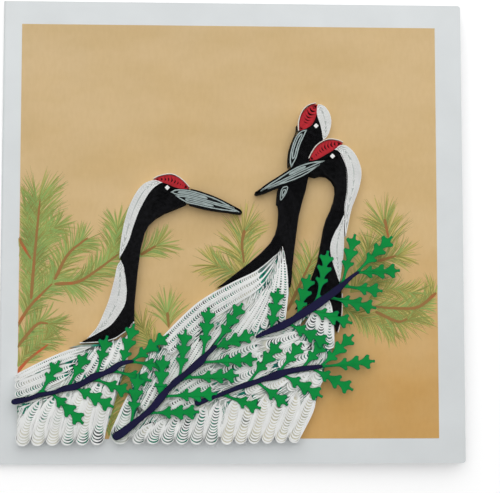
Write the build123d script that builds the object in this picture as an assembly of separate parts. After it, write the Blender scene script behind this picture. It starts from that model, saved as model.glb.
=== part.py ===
from build123d import *
import math
import os

# Quilled greeting card, lying closed on its back panel. X runs across the picture, Y up the
# picture and Z out of its front. The origin is on the floor under the middle of the card.
# Millimetres.

# Card and fold
CARD_SIDE = 150.0
CARD_THICKNESS = 0.4
FOLD_RADIUS = 0.5
SPRING_ANGLE = 1.1
CORNER_RADIUS = 1.0

# Printed field on the front panel
MARGIN_LEFT = 6.0
MARGIN_RIGHT = 8.6
MARGIN_TOP = 7.6
MARGIN_BOTTOM = 8.0
INK_THICKNESS = 0.05
TWIG_WIDTH = 0.9
TWIG_TAPER = 0.6
NEEDLE_WIDTH = 1.5
NEEDLE_PITCH = 27
NEEDLE_SHORTER = 0.15

# Quilling paper
STRIP_HEIGHT = 3.0
STRIP_WIDTH = 0.45
GLUE_GAP = 0.12
FEATHER_GAP = 0.22
SHARPEST = 0.5
TURN_GAP = 0.34
TURN_PITCH = 1.1
TURN_TAIL = 0.3
SLOT_ENDS = 0.18
SLOT_RUNS = 3
EYE_WIDTH = 1.7
EYE_SIDES = 4
EYE_THICKNESS = 0.3

# Die-cut sprays
LEAF_THICKNESS = 0.45
STEM_THICKNESS = 0.35
STALK_WIDTH = 0.9
LOBE_REACH = 2.3
LOBE_PITCH = 3.9
WAIST_SHARE = 0.28

# Places along one tier of lobes, as shares of the pitch
LOBE_AT = 0.72
LAST_LOBE_AT = 0.6
NOTCH_AFTER = 0.07
TIP_BEYOND = 0.15
LONG_SPRIG = 3.4
FIRST_LOBE_SHARE = 0.85

# The picture is drawn on a square grid of this many steps, centred on the card.
GRID_STEPS = 150
STEP = CARD_SIDE / GRID_STEPS


def at(x, y):
    return Vector(x * STEP, y * STEP)


def front_plane():
    """The outer face of the front panel, with its middle as origin."""
    angle = math.radians(SPRING_ANGLE)
    along = Vector(math.cos(angle), 0, math.sin(angle))
    outward = Vector(-math.sin(angle), 0, math.cos(angle))
    outer = FOLD_RADIUS + CARD_THICKNESS
    fold_centre = Vector(outer - CARD_SIDE / 2, 0, outer)
    middle = fold_centre + outward * outer + along * (CARD_SIDE / 2 - outer)
    return Plane(origin=middle, x_dir=along, z_dir=outward)


FRONT = front_plane()


def raised(face, base, height):
    """A sheet or a coil on the front panel, from its outline."""
    return FRONT.location * Pos(0, 0, base) * Solid.extrude(face, Vector(0, 0, height))


def polygon(points, holes=()):
    wires = [Wire.make_polygon(loop, close=True) for loop in (points, *holes)]
    return Face(wires[0], wires[1:])


def largest(shape):
    return max(shape.faces(), key=lambda face: face.area)


def normal_at(points, index):
    """The left-hand normal of a line of points."""
    before = points[max(index - 1, 0)]
    after = points[min(index + 1, len(points) - 1)]
    run = (after - before).normalized()
    return Vector(-run.Y, run.X)


def ribbon(points, widths):
    """A flat strip along a line of points, with its own width at each one."""
    left = []
    right = []
    for index, (point, width) in enumerate(zip(points, widths)):
        side = normal_at(points, index) * (width / 2)
        left.append(point + side)
        right.append(point - side)
    return left + right[::-1]


def bezier(points, t):
    """A point on the cubic curve with four control points."""
    a, b, c, d = points
    s = 1 - t
    return a * s ** 3 + b * (3 * s * s * t) + c * (3 * s * t * t) + d * t ** 3


def slope(points, t):
    """The direction of that curve, as long as its speed."""
    a, b, c, d = points
    s = 1 - t
    return ((b - a) * (s * s) + (c - b) * (2 * s * t) + (d - c) * (t * t)) * 3


# Card
def folded_card():
    """One sheet: the back panel on the floor, a round fold at the left, the front panel above."""
    angle = math.radians(SPRING_ANGLE)
    outer = FOLD_RADIUS + CARD_THICKNESS
    centre = Vector(outer - CARD_SIDE / 2, outer)
    reach = CARD_SIDE - outer
    along = Vector(math.cos(angle), math.sin(angle))
    outward = Vector(-math.sin(angle), math.cos(angle))
    halfway = Vector(-math.cos(angle / 2), -math.sin(angle / 2))
    profile = Wire(
        [
            Line(centre + (reach, -outer), centre + (0, -outer)),
            ThreePointArc(centre + (0, -outer), centre + halfway * outer, centre + outward * outer),
            Line(centre + outward * outer, centre + outward * outer + along * reach),
            Line(centre + outward * outer + along * reach,
                 centre + outward * FOLD_RADIUS + along * reach),
            Line(centre + outward * FOLD_RADIUS + along * reach, centre + outward * FOLD_RADIUS),
            ThreePointArc(centre + outward * FOLD_RADIUS, centre + halfway * FOLD_RADIUS,
                          centre + (0, -FOLD_RADIUS)),
            Line(centre + (0, -FOLD_RADIUS), centre + (reach, -FOLD_RADIUS)),
            Line(centre + (reach, -FOLD_RADIUS), centre + (reach, -outer)),
        ]
    )
    face = Plane.XZ * Face(profile)
    sheet = Pos(0, CARD_SIDE / 2, 0) * Solid.extrude(face, Vector(0, -CARD_SIDE, 0))
    corners = sheet.edges().filter_by(
        lambda edge: edge.length < 2 * CARD_THICKNESS and edge.center().X > CARD_SIDE / 4
        and abs(edge.center().Y) > CARD_SIDE / 2 - CORNER_RADIUS
    )
    return fillet(corners, CORNER_RADIUS)


# Print
PRINT_LEFT = MARGIN_LEFT - CARD_SIDE / 2
PRINT_RIGHT = CARD_SIDE / 2 - MARGIN_RIGHT
PRINT_TOP = CARD_SIDE / 2 - MARGIN_TOP
PRINT_BOTTOM = MARGIN_BOTTOM - CARD_SIDE / 2

TWIGS = [
    [(-69.4, -31), (-65, -24), (-58.3, -17.4)],
    [(-57.6, -17.5), (-50, -17.2), (-43, -12.3), (-36.9, -7.6)],
    [(-57.6, -16.2), (-53.5, -7.5), (-47, -2.5)],
    [(-65, -22.5), (-64.2, -10), (-62.5, 10)],
    [(-69.4, -2.5), (-65.2, -9.5)],
    [(-69.4, -37.8), (-62.8, -29.8), (-59.5, -30.2)],
    [(-69.4, -46), (-65.5, -41.5), (-59.5, -37)],
    [(-30, -8), (-25, -5)],
    [(3.6, 0.2), (2.6, -4), (3.4, -10.5)],
    [(-21.3, -26.5), (-20.8, -31.5)],
    [(66, -20), (60, -25.3), (50, -25), (45.5, -24.5)],
    [(46, -26.2), (53.5, -29.8), (56.5, -28.5)],
    [(49.3, 4), (50.5, -2)],
    [(47, -9.8), (53, -8)],
    [(17.5, -26), (25.5, -9)],
]

# Needle fans: middle, direction and spread in degrees, length in steps
NEEDLE_FANS = [
    (-62.5, 6, 95, 150, 13),
    (-63, -6, 40, 100, 12),
    (-56, -8, 70, 120, 11),
    (-66, -16, 110, 120, 9),
    (-63, -26, 10, 110, 11),
    (-64, -38, 30, 100, 12),
    (-38, -2, 100, 110, 11),
    (-44, -14, -50, 110, 8),
    (-29, -6, -20, 150, 11),
    (2.8, -3, 90, 160, 12),
    (-1, -11.5, 180, 80, 11),
    (-21, -28, 95, 170, 9),
    (23, -13, 100, 90, 9),
    (50, 0, 80, 200, 10),
    (50, -12, -10, 120, 8),
    (58, -25.5, 60, 100, 9),
    (54, -28, -70, 120, 7),
]


# Printed white field under the feathers of each bird
BIRD_FIELDS = [
    [(-45, -37.4), (-51, -38), (-60, -42), (-69.2, -47), (-69.2, -67.5), (-41.6, -67.5), (-34.8, -44.5),
     (-32.8, -33.6), (-38, -35.6)],
    [(15.2, -5.4), (17, -12), (18, -20), (16.4, -29), (22.6, -31), (24.5, -27), (29.8, -21), (32.2, -28),
     (32.8, -33), (31.6, -39.5), (29.4, -44.6), (28, -51), (25.6, -58), (20.8, -67.5), (-40, -67.5),
     (-36, -57.6), (-32.4, -52.8), (-30, -58.4), (-23.2, -36), (-13, -26.6), (0, -19.4), (9.4, -12.8)],
]


def needle_fan(x, y, direction, spread, length):
    """Blades that leave one point, as a star-shaped outline."""
    middle = at(x, y)
    blades = round(spread / NEEDLE_PITCH)
    pitch = spread / blades
    outline = [middle]
    for blade in range(blades):
        heading = math.radians(direction + (blade + 0.5 - blades / 2) * pitch)
        turn = math.radians(pitch / 2)
        reach = length * STEP * (1 - NEEDLE_SHORTER * (blade % 2))
        root = NEEDLE_WIDTH / 2 / math.sin(turn)
        tip = middle + Vector(math.cos(heading), math.sin(heading)) * reach
        outline.append(middle + Vector(math.cos(heading - turn), math.sin(heading - turn)) * root)
        outline.append(tip)
    last = heading + turn
    outline.append(middle + Vector(math.cos(last), math.sin(last)) * root)
    return polygon(outline)


def print_ground():
    width = PRINT_RIGHT - PRINT_LEFT
    height = PRINT_TOP - PRINT_BOTTOM
    field = Pos((PRINT_LEFT + PRINT_RIGHT) / 2, (PRINT_TOP + PRINT_BOTTOM) / 2) * Rectangle(width, height)
    return field.face()


def print_birds():
    ground = print_ground()
    fields = [Sketch() + polygon([at(*point) for point in field]) for field in BIRD_FIELDS]
    return [largest(field & ground) for field in fields]


def print_needles():
    fans = Sketch() + [needle_fan(*fan) for fan in NEEDLE_FANS]
    return ((fans & print_ground()) - print_birds()).faces()


def print_twigs():
    ground = print_ground()
    birds = print_birds()
    faces = []
    for twig in TWIGS:
        points = [at(*point) for point in twig]
        last = len(points) - 1
        widths = [TWIG_WIDTH * (1 + TWIG_TAPER * (0.5 - index / last)) for index in range(last + 1)]
        strip = Sketch() + polygon(ribbon(points, widths))
        faces += ((strip & ground) - birds).faces()
    return faces


# Coils with two pinched ends
def turn_slot(side_a, side_b, share):
    """The lens-shaped gap between two turns, part of the way across a coil."""
    places = [SLOT_ENDS + (1 - 2 * SLOT_ENDS) * k / SLOT_RUNS for k in range(SLOT_RUNS + 1)]
    middle = [share_point(side_a, side_b, share, place) for place in places]
    widths = [TURN_GAP * math.sin(math.pi * k / SLOT_RUNS) for k in range(1, SLOT_RUNS)]
    outline = ribbon(middle[1:-1], widths)
    return [middle[0]] + outline[:SLOT_RUNS - 1] + [middle[-1]] + outline[SLOT_RUNS - 1:]


def share_point(side_a, side_b, share, t):
    return on_line(side_a, t) * (1 - share) + on_line(side_b, t) * share


def on_line(points, t):
    """The point that lies a share of the way along a line of points."""
    lengths = [(b - a).length for a, b in zip(points, points[1:])]
    left = t * sum(lengths)
    for (a, b), length in zip(zip(points, points[1:]), lengths):
        if left <= length:
            return a + (b - a) * (left / length)
        left -= length
    return points[-1]


def coil(side_a, side_b, shares=()):
    """A coil between two sides that share their ends, with gaps between its turns."""
    side_a, side_b = [[at(*point) for point in side] for side in (side_a, side_b)]
    holes = [turn_slot(side_a, side_b, share) for share in shares]
    return side_a + side_b[-2:0:-1], holes


def strip(points):
    """One paper strip on edge along a line."""
    line = [at(*point) for point in points]
    return ribbon(line, [STRIP_WIDTH] * len(line)), []


def eye(x, y):
    edge = Vector(EYE_WIDTH / 2, 0)
    return [at(x, y) + edge.rotate(Axis.Z, k * 360 / EYE_SIDES) for k in range(EYE_SIDES)], []


def grown(outline):
    """An outline moved out by the glue gap."""
    turning = sum(a.X * b.Y - a.Y * b.X for a, b in zip(outline, outline[1:] + outline[:1]))
    outward = math.copysign(1, turning)
    result = []
    for before, point, after in zip(outline[-1:] + outline[:-1], outline, outline[1:] + outline[:1]):
        run_in = (point - before).normalized()
        run_out = (after - point).normalized()
        side = Vector(run_in.Y + run_out.Y, -run_in.X - run_out.X) * outward
        result.append(point + side * (GLUE_GAP / max(1 + run_in.dot(run_out), SHARPEST)))
    return result


def trimmed(face, neighbours):
    """What is left of an outline beside its neighbours."""
    for outline, holes in neighbours:
        face = largest(face - polygon(grown(outline)))
    return face


# Left crane
LEFT_CRANE = {
    "crown": coil(
        [(-25.6, 16.1), (-24, 16.9), (-22, 17.4), (-20.3, 17.5), (-18.5, 16.9), (-16.5, 15.5),
         (-14.6, 13.3)],
        [(-25.6, 16.1), (-23.5, 15.4), (-21, 14.6), (-19, 13.7), (-17, 13.2), (-14.6, 13.3)],
        (0.3, 0.62),
    ),
    "nape_upper": coil(
        [(-23.1, 15.2), (-25.6, 15.9), (-28.5, 15), (-30.5, 13), (-32.3, 10), (-33.6, 7), (-34.8, 3),
         (-35.5, 0), (-36.3, -5), (-36.7, -9.3)],
        [(-23.1, 15.2), (-25, 14.3), (-27, 12.5), (-28.7, 10), (-31, 5.3), (-32.8, 0), (-34, -4),
         (-36.7, -9.3)],
        (0.4,),
    ),
    "nape_lower": coil(
        [(-36.3, -9.9), (-37.4, -12), (-38, -15), (-38.8, -18.5), (-40, -23), (-42, -28), (-44, -32),
         (-46.8, -35.1)],
        [(-36.3, -9.9), (-35.5, -12), (-35, -15), (-34.5, -19), (-34.6, -22), (-35.3, -25), (-38.5, -29.8),
         (-41, -31.8), (-46.8, -35.1)],
        (0.45,),
    ),
    "beak_upper": coil(
        [(-20.4, 12.1), (-19, 12.8), (-17, 12.9), (-14, 12.6), (-10, 11.5), (-5, 9.6), (0.2, 6.9)],
        [(-20.4, 12.1), (-18.5, 11.3), (-15, 10.9), (-10, 9.7), (-5, 8.3), (0.2, 6.9)],
        (0.5,),
    ),
    "beak_lower": coil(
        [(-18.9, 11), (-15, 10.6), (-10, 9.4), (-5, 8), (0, 6.6), (1.8, 5.7)],
        [(-18.9, 11), (-17.3, 9.9), (-15, 8.7), (-12, 8), (-8, 7.1), (-4, 6.4), (1.8, 5.7)],
        (0.5,),
    ),
    "crown_rim": strip(
        [(-26, 16.5), (-24.1, 17.4), (-22, 17.9), (-20.1, 18), (-18.2, 17.3), (-16.2, 15.8), (-14.4, 13.8)],
    ),
    "beak_rim": strip(
        [(-14, 13.1), (-10, 12.0), (-5, 10.1), (0, 7.5), (2.4, 6.1), (1.9, 5.2), (-2, 5.7), (-6, 6.2),
         (-10, 6.9), (-14.4, 8.1)],
    ),
    "eye": eye(-21.5, 13.5),
}
LEFT_NECK_FRONT = [
    (-15.6, 8.3), (-19.5, 6.6), (-22.5, 5.4), (-25.5, 3.6), (-27.7, 1.5), (-29, -1), (-30.2, -6),
    (-31.2, -14), (-32.1, -24), (-32.1, -29.6), (-34, -32), (-38, -34.8), (-42, -35.9), (-49, -36.4),
]
LEFT_NECK_BACK = [
    (-15.2, 13.6), (-19, 15.5), (-23, 16), (-27.5, 13.8), (-31, 9), (-33.3, 4), (-35, -3), (-36.2, -9.5),
    (-36.4, -14), (-36.2, -20), (-37.4, -26), (-40.5, -30.4), (-44, -33.8), (-49, -36.4),
]
LEFT_NECK_TURNS = [
    [(-21, 10), (-26, 7), (-29.8, 1), (-31.8, -6), (-33.2, -15), (-33.6, -24), (-36, -30)],
    [(-24, 6.6), (-28.4, 1.4), (-30.8, -5), (-32.3, -15), (-32.9, -23), (-33.6, -29)],
]

# Middle crane
MIDDLE_CRANE = {
    "crown": coil(
        [(27.1, 41.1), (25, 40.6), (23.2, 39.3), (22, 37.3), (21.5, 35), (21.3, 32.6)],
        [(27.1, 41.1), (26.9, 39.5), (26.5, 37), (25.3, 34.4), (23.5, 33.2), (21.3, 32.6)],
        (0.35, 0.65),
    ),
    "nape": coil(
        [(27.4, 41.1), (28.6, 40.8), (30, 39.8), (31.2, 37.8), (31.6, 35.5), (31.2, 33), (30.4, 31),
         (29, 29.5)],
        [(27.4, 41.1), (27, 39.5), (27.2, 37.3), (28, 35), (28.6, 32.5), (29, 29.5)],
        (0.45,),
    ),
    "beak_root": coil(
        [(23.7, 32.7), (22, 32.3), (20.8, 31.3), (20, 30), (19.2, 28), (18.5, 25.5), (18.2, 22.5),
         (18.6, 20.4)],
        [(23.7, 32.7), (22.9, 31), (21.8, 28.7), (21, 26.5), (20.2, 23.5), (18.6, 20.4)],
        (0.5,),
    ),
    "beak_tip": coil(
        [(17.6, 14.5), (16, 14.2), (15.2, 13), (14.9, 11), (14.9, 9)],
        [(17.6, 14.5), (17.5, 13.4), (17, 12), (16, 10.4), (14.9, 9)],
    ),
    "crown_rim": strip(
        [(21, 32.4), (21, 34.8), (21.5, 37.3), (22.8, 39.7), (24.7, 41.1), (26.7, 41.6)],
    ),
    "beak_rim": strip(
        [(20.4, 34), (20.3, 32.2), (19.4, 30), (18.6, 28), (17.9, 25.5), (17.6, 22.5), (17.7, 20.4)],
    ),
    "eye": eye(26.7, 34),
}
MIDDLE_HEAD = [
    (23.5, 33.6), (26.4, 35.5), (27.1, 38.6), (28.0, 35.5), (28.6, 33), (29.1, 29.8), (27.5, 28.6),
    (25.9, 26.6), (24.4, 23.6), (23.9, 22.3), (20, 20.9), (18.4, 20.2), (18.9, 22.5), (19.6, 25.5),
    (20.6, 28.5), (22, 31.5),
]
MIDDLE_HEAD_TURNS = [[(26, 32.5), (24.6, 28.5), (22.6, 23.5)], [(24.4, 32), (23, 28.5), (21.2, 23)]]
MIDDLE_NECK_FRONT = [
    (24.4, 18.2), (20, 16.2), (17.4, 15.2), (14.9, 14.2), (14.35, 12.5), (14.1, 10.5), (14.0, 8.4),
    (14.7, 8.0),
    (14.7, 5), (14.4, 1.5), (13.6, -1.5), (12, -4.3), (9, -7.5), (5.5, -10.5), (0, -14.8), (-5.3, -18.7),
]
MIDDLE_NECK_BACK = [
    (24.4, 18.2), (23.3, 13.5), (22, 9), (21, 5), (20.3, 0), (19, -10), (18.3, -18), (17.4, -18.3),
    (16.9, -14),
    (16.2, -8), (15.4, -4.6), (14.2, -7.2), (12, -10.7), (9.8, -12.8), (7, -14.2), (3, -15.4),
    (-1, -17), (-5.3, -18.7),
]
MIDDLE_NECK_TURNS = [
    [(21, 14.5), (19.4, 8), (18, 1), (17.3, -6)],
    [(18.6, 13), (17.2, 6), (15.9, -1), (13.2, -6), (8.6, -10.4)],
]

# Right crane
RIGHT_CRANE = {
    "crown": coil(
        [(24.6, 22.7), (25.6, 25), (27, 27), (28.8, 28.5), (31, 29.2), (33.5, 29), (35.3, 28.3)],
        [(24.6, 22.7), (26, 22.8), (27.5, 23.3), (30, 24.8), (32, 26), (33, 26.8), (35.3, 28.3)],
        (0.3, 0.62),
    ),
    "nape_upper": coil(
        [(32.7, 26.3), (35, 27.9), (37.2, 27), (39, 25), (40.3, 22.3), (40.8, 19.5), (40.2, 15.5),
         (39, 11.5),
         (38, 8.5), (37.2, 4.5), (36.2, -2)],
        [(32.7, 26.3), (34.2, 25.7), (35.4, 24.4), (36.5, 22), (37.1, 19), (37.2, 15), (37, 11),
         (36.1, 6.5),
         (36.2, -2)],
        (0.45,),
    ),
    "nape_lower": coil(
        [(35.7, 5), (34.4, 2), (33, -0.3), (31.8, -3), (31.2, -5.5), (31.4, -8), (32, -10.5),
         (33, -13.5), (34.1, -16.8)],
        [(35.7, 5), (35.6, 1), (35.6, -3), (35.4, -7), (35, -11), (34.1, -16.8)],
        (0.45,),
    ),
    "beak_upper": coil(
        [(29.4, 22.6), (27.5, 22.4), (25, 22), (22.5, 21.3), (20, 20.2), (17, 18.4), (14, 16.4),
         (11.5, 14.8), (8.6, 12.6)],
        [(29.4, 22.6), (27, 21.5), (22, 19.2), (18, 17.2), (14, 15.2), (8.6, 12.6)],
        (0.5,),
    ),
    "beak_lower": coil(
        [(27.9, 21.4), (22, 18.7), (18, 16.8), (14, 14.8), (11, 13.3), (8, 12.1)],
        [(27.9, 21.4), (26, 20), (24, 18.6), (21, 17), (18, 15.8), (15, 14.8), (12, 13.7), (8, 12.1)],
        (0.5,),
    ),
    "crown_rim": strip(
        [(24.3, 23.4), (25.2, 25.3), (26.7, 27.5), (28.7, 29), (31, 29.8), (33.7, 29.5), (35.5, 28.8)],
    ),
    "beak_rim": strip(
        [(24.2, 22.3), (20, 20.8), (17, 19), (14, 17), (11, 15.1), (8.3, 13.0), (6.9, 12), (7.4, 11.4),
         (10, 12.1), (14, 13.8), (18, 15.2), (21.5, 16.6), (24.2, 17.9)],
    ),
    "eye": eye(32, 24.1),
}
RIGHT_NECK_FRONT = [
    (24.6, 17.8), (26.3, 17.4), (28, 17.9), (30, 17.7), (31.8, 16.3), (33, 14.3), (33.1, 12), (32.6, 9.3),
    (31.6, 6.5), (30.2, 3.5), (29.3, 0.5), (28.7, -3), (27.3, -10.5), (24.5, -18), (20, -25.5),
]
RIGHT_NECK_BACK = [
    (24.4, 22.6), (28, 24.2), (32.5, 26.6), (35.6, 25.2), (37.5, 21), (38, 15), (37.3, 8), (35.9, 3),
    (33.4, -2),
    (32.4, -6), (33, -11), (34.4, -15.5), (34.7, -20), (34.6, -25), (34.3, -28), (33.2, -32.8), (32.4, -28),
    (31.4, -23.6), (29.9, -19.6), (26.5, -22.6), (20, -25.5),
]
RIGHT_NECK_TURNS = [
    [(29, 20.4), (33.2, 19.4), (35.4, 15), (35, 9), (32.6, 3.5), (30.9, -2), (30.2, -9), (29.4, -16)],
    [(31, 18.6), (33.9, 15.6), (34.2, 9), (31.6, 3.5), (29.9, -2), (29, -9), (27.4, -16)],
]
RIGHT_NECK_RIM = [(34.95, -20.5), (34.95, -24.5), (34.65, -28.5), (33.6, -33)]


def neck_face(front, back, turns, neighbours):
    """A black coil between two edges, shaped to the coils beside it."""
    points = [at(*point) for point in front] + [at(*point) for point in back[::-1]]
    return coil_block(points, turns, neighbours)


def coil_block(points, turns, neighbours):
    face = trimmed(polygon(points), neighbours)
    for turn in turns:
        line = [at(*point) for point in turn]
        last = len(line) - 1
        places = [(k + TURN_TAIL) / (last + 2 * TURN_TAIL) for k in range(last + 1)]
        widths = [TURN_GAP * math.sin(math.pi * place) for place in places]
        face = largest(face - polygon(ribbon(line, widths)))
    return face


def necks(rows):
    """The black coils, each shaped to its crown, nape, beak and feathers."""
    left = [LEFT_CRANE[key] for key in ("crown", "crown_rim", "nape_upper", "nape_lower", "beak_upper",
                                        "beak_lower", "beak_rim")]
    middle = [MIDDLE_CRANE[key] for key in ("crown", "nape", "beak_root", "beak_tip")]
    beak = [RIGHT_CRANE[key] for key in ("crown", "crown_rim", "beak_rim", "beak_upper", "beak_lower")]
    right = [RIGHT_CRANE[key] for key in ("nape_upper", "nape_lower")]
    shoulder = rows["right_back_feathers"][:1] + rows["right_apex_feathers"]
    breast = rows["right_neck_feathers"]
    return {
        "left_neck": neck_face(LEFT_NECK_FRONT, LEFT_NECK_BACK, LEFT_NECK_TURNS, left),
        "middle_head": coil_block([at(*point) for point in MIDDLE_HEAD], MIDDLE_HEAD_TURNS, middle + beak),
        "middle_neck": neck_face(MIDDLE_NECK_FRONT, MIDDLE_NECK_BACK, MIDDLE_NECK_TURNS,
                                 middle + beak + shoulder),
        "right_neck": neck_face(RIGHT_NECK_FRONT, RIGHT_NECK_BACK, RIGHT_NECK_TURNS, right + beak + breast),
    }


# Feather rows: the first and the last guide curve run from the pinched tips to the round ends,
# and the feathers fill the space between them.
FEATHER_ROWS = {
    "left_back_feathers": (
        [(-44.8, -36.9), (-51, -37.2), (-60, -41.4), (-69.2, -46.4)],
        [(-47.2, -40.6), (-54, -42.8), (-61, -44.5), (-69.3, -49.0)], 2, 2),
    "left_wing_feathers": (
        [(-47.7, -41.2), (-54, -43.4), (-61, -45.1), (-69.3, -49.1)],
        [(-52.4, -47.6), (-57, -49.6), (-62, -51.6), (-69.3, -54.4)], 2, 2),
    "left_neck_feathers": (
        [(-44.2, -38.0), (-45.6, -40.8), (-48.6, -44.6), (-52.0, -48.9)],
        [(-32.4, -33.0), (-33.0, -36.5), (-33.8, -39.5), (-34.2, -43.4)], 5, 1),
    "left_skirt_feathers": (
        [(-63.0, -54.6), (-66, -58), (-69, -62), (-69.2, -69)],
        [(-34.8, -44.8), (-37.5, -51.5), (-40, -57), (-41.2, -68.6)], 6, 2),
    "right_back_feathers": (
        [(14.6, -6.8), (10, -15.8), (-9, -15.6), (-23.8, -35.6)],
        [(13.6, -11.0), (10.5, -22.5), (-4, -23), (-20.0, -40.5)], 3, 2),
    "right_flank_feathers": (
        [(-21.0, -42.0), (-25, -46), (-27.5, -51), (-30.4, -58.6)],
        [(-7.4, -31.6), (-10.5, -36), (-14, -42), (-17.8, -48.4)], 4, 1),
    "right_wing_feathers": (
        [(-7.2, -31.4), (-10.3, -35.8), (-13.8, -41.8), (-17.6, -48.2)],
        [(9.0, -20.8), (4.5, -26.5), (-1.5, -32.5), (-6.4, -38.6)], 4, 1),
    "right_shoulder_feathers": (
        [(9.6, -19.4), (5.6, -25.6), (-0.4, -31.6), (-5.2, -37.8)],
        [(12.7, -15.2), (12.0, -20.0), (9.4, -25.5), (3.4, -34.6)], 3, 1),
    "right_apex_feathers": (
        [(14.0, -10.4), (12.6, -18.5), (10.5, -23.5), (4.8, -33.2)],
        [(15.9, -4.4), (17.3, -12), (18.4, -20), (16.6, -29.0)], 4, 2),
    "right_middle_feathers": (
        [(8.4, -35.4), (4, -36.2), (-1, -38.0), (-5.3, -41.0)],
        [(13.8, -45.2), (9.5, -46), (4.5, -48.2), (-0.8, -51.0)], 3, 1),
    "right_thigh_feathers": (
        [(20.8, -32.2), (17, -32.8), (13, -34.2), (9.6, -36.2)],
        [(29.2, -41.0), (25, -41.8), (20, -43.4), (15.5, -45.2)], 3, 0),
    "right_neck_feathers": (
        [(29.3, -21.0), (26, -24), (24, -27.5), (22.6, -31.5)],
        [(30.6, -21.5), (32.6, -28), (33.3, -33), (31.8, -39.5)], 3, 1),
    "right_belly_feathers": (
        [(-6.0, -41.8), (-9.6, -43.6), (-13.4, -46.4), (-16.9, -50.0)],
        [(-2.6, -52.6), (-9, -54.8), (-16, -57.3), (-22.6, -60.0)], 4, 0),
    "right_corner_feather": (
        [(-33.6, -52.6), (-36, -57.5), (-38.5, -63), (-40.6, -68.3)],
        [(-33.0, -52.6), (-31.6, -56.5), (-32.0, -62), (-33.4, -68.3)], 1, 2),
    "right_skirt_feathers": (
        [(-27.8, -62.4), (-30, -63.6), (-32.6, -65.4), (-33.0, -68.4)],
        [(-2.8, -54.2), (-3.4, -58), (-4.6, -63), (-5.0, -68.6)], 6, 2),
    "right_tail_feathers": (
        [(-1.8, -53.8), (-1.8, -58), (-3.6, -63), (-4.6, -68.6)],
        [(27.8, -51.2), (26.4, -57), (23.4, -63.5), (20.6, -67.8)], 6, 2),
    "right_rump_feathers": (
        [(15.0, -46.8), (10.0, -47.6), (5.0, -49.4), (0.4, -52.4)],
        [(29.6, -44.6), (29.4, -47), (28.8, -48.4), (27.6, -50.2)], 4, 0),
}

# Shares of a feather's length where its pinch ends and of its width that its round end takes,
# the longest run of one side, and the shape of its end and its crescents across the width
PINCH_SHARE = 0.28
ROUND_END = 0.58
MOST_ROUND = 0.5
SIDE_RUN = 14.0
END_POINTS = (0.6, 0.9)
CRESCENT_REACH = 0.7
REACH_STEPS = 3


def feather_cell(first, last, count, index):
    """The two guide curves beside one feather of a row."""
    guides = []
    for share in (index / count, (index + 1) / count):
        guides.append([at(*a) * (1 - share) + at(*b) * share for a, b in zip(first, last)])
    return guides


def feather_row(first, last, count, turns):
    length = max((at(*guide[3]) - at(*guide[0])).length for guide in (first, last))
    runs = max(round(length / SIDE_RUN), 1)
    return [teardrop(*feather_cell(first, last, count, index), turns, runs) for index in range(count)]


def reach_to(guide, t, middle, run):
    """How far a guide lies to the left of a point, square to the run."""
    for step in range(REACH_STEPS):
        t += (middle - bezier(guide, t)).dot(run) / slope(guide, t).dot(run)
    return (bezier(guide, t) - middle).dot(Vector(-run.Y, run.X))


def teardrop(guide_a, guide_b, turns, runs):
    """A teardrop coil between two guides, with crescent gaps between its turns."""
    length = (guide_a[3] + guide_b[3] - guide_a[0] - guide_b[0]).length / 2

    def point(t, across):
        middle = (bezier(guide_a, t) + bezier(guide_b, t)) / 2
        run = (slope(guide_a, t) + slope(guide_b, t)).normalized()
        left = reach_to(guide_a, t, middle, run)
        right = reach_to(guide_b, t, middle, run)
        clear = max(1 - FEATHER_GAP / abs(left - right), 0)
        shift = (left + right) / 2 + (left - right) / 2 * across * clear
        return middle + Vector(-run.Y, run.X) * shift

    end_width = (point(1, 1) - point(1, -1)).length
    round_share = min(end_width / length * ROUND_END, MOST_ROUND)
    shoulder = 1 - round_share
    sides = [(PINCH_SHARE + (shoulder - PINCH_SHARE) * k / runs, 1) for k in range(runs + 1)]
    sides += [(shoulder + round_share * share, math.sqrt(1 - share ** 2)) for share in END_POINTS]
    left = [point(t, fullness) for t, fullness in sides]
    right = [point(t, -fullness) for t, fullness in sides]
    outline = [point(0, 0)] + left + [point(1, 0)] + right[::-1]

    holes = []
    for turn in range(1, turns + 1):
        crown = 1 - turn * TURN_PITCH / length
        gap = TURN_GAP / length
        arms = CRESCENT_REACH
        drop = round_share * arms ** 2
        holes.append([point(crown - drop, arms), point(crown - drop / 4, arms / 2),
                      point(crown - drop / 4, -arms / 2), point(crown - drop, -arms),
                      point(crown - drop / 4 - gap, 0)])
    return outline, holes


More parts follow.
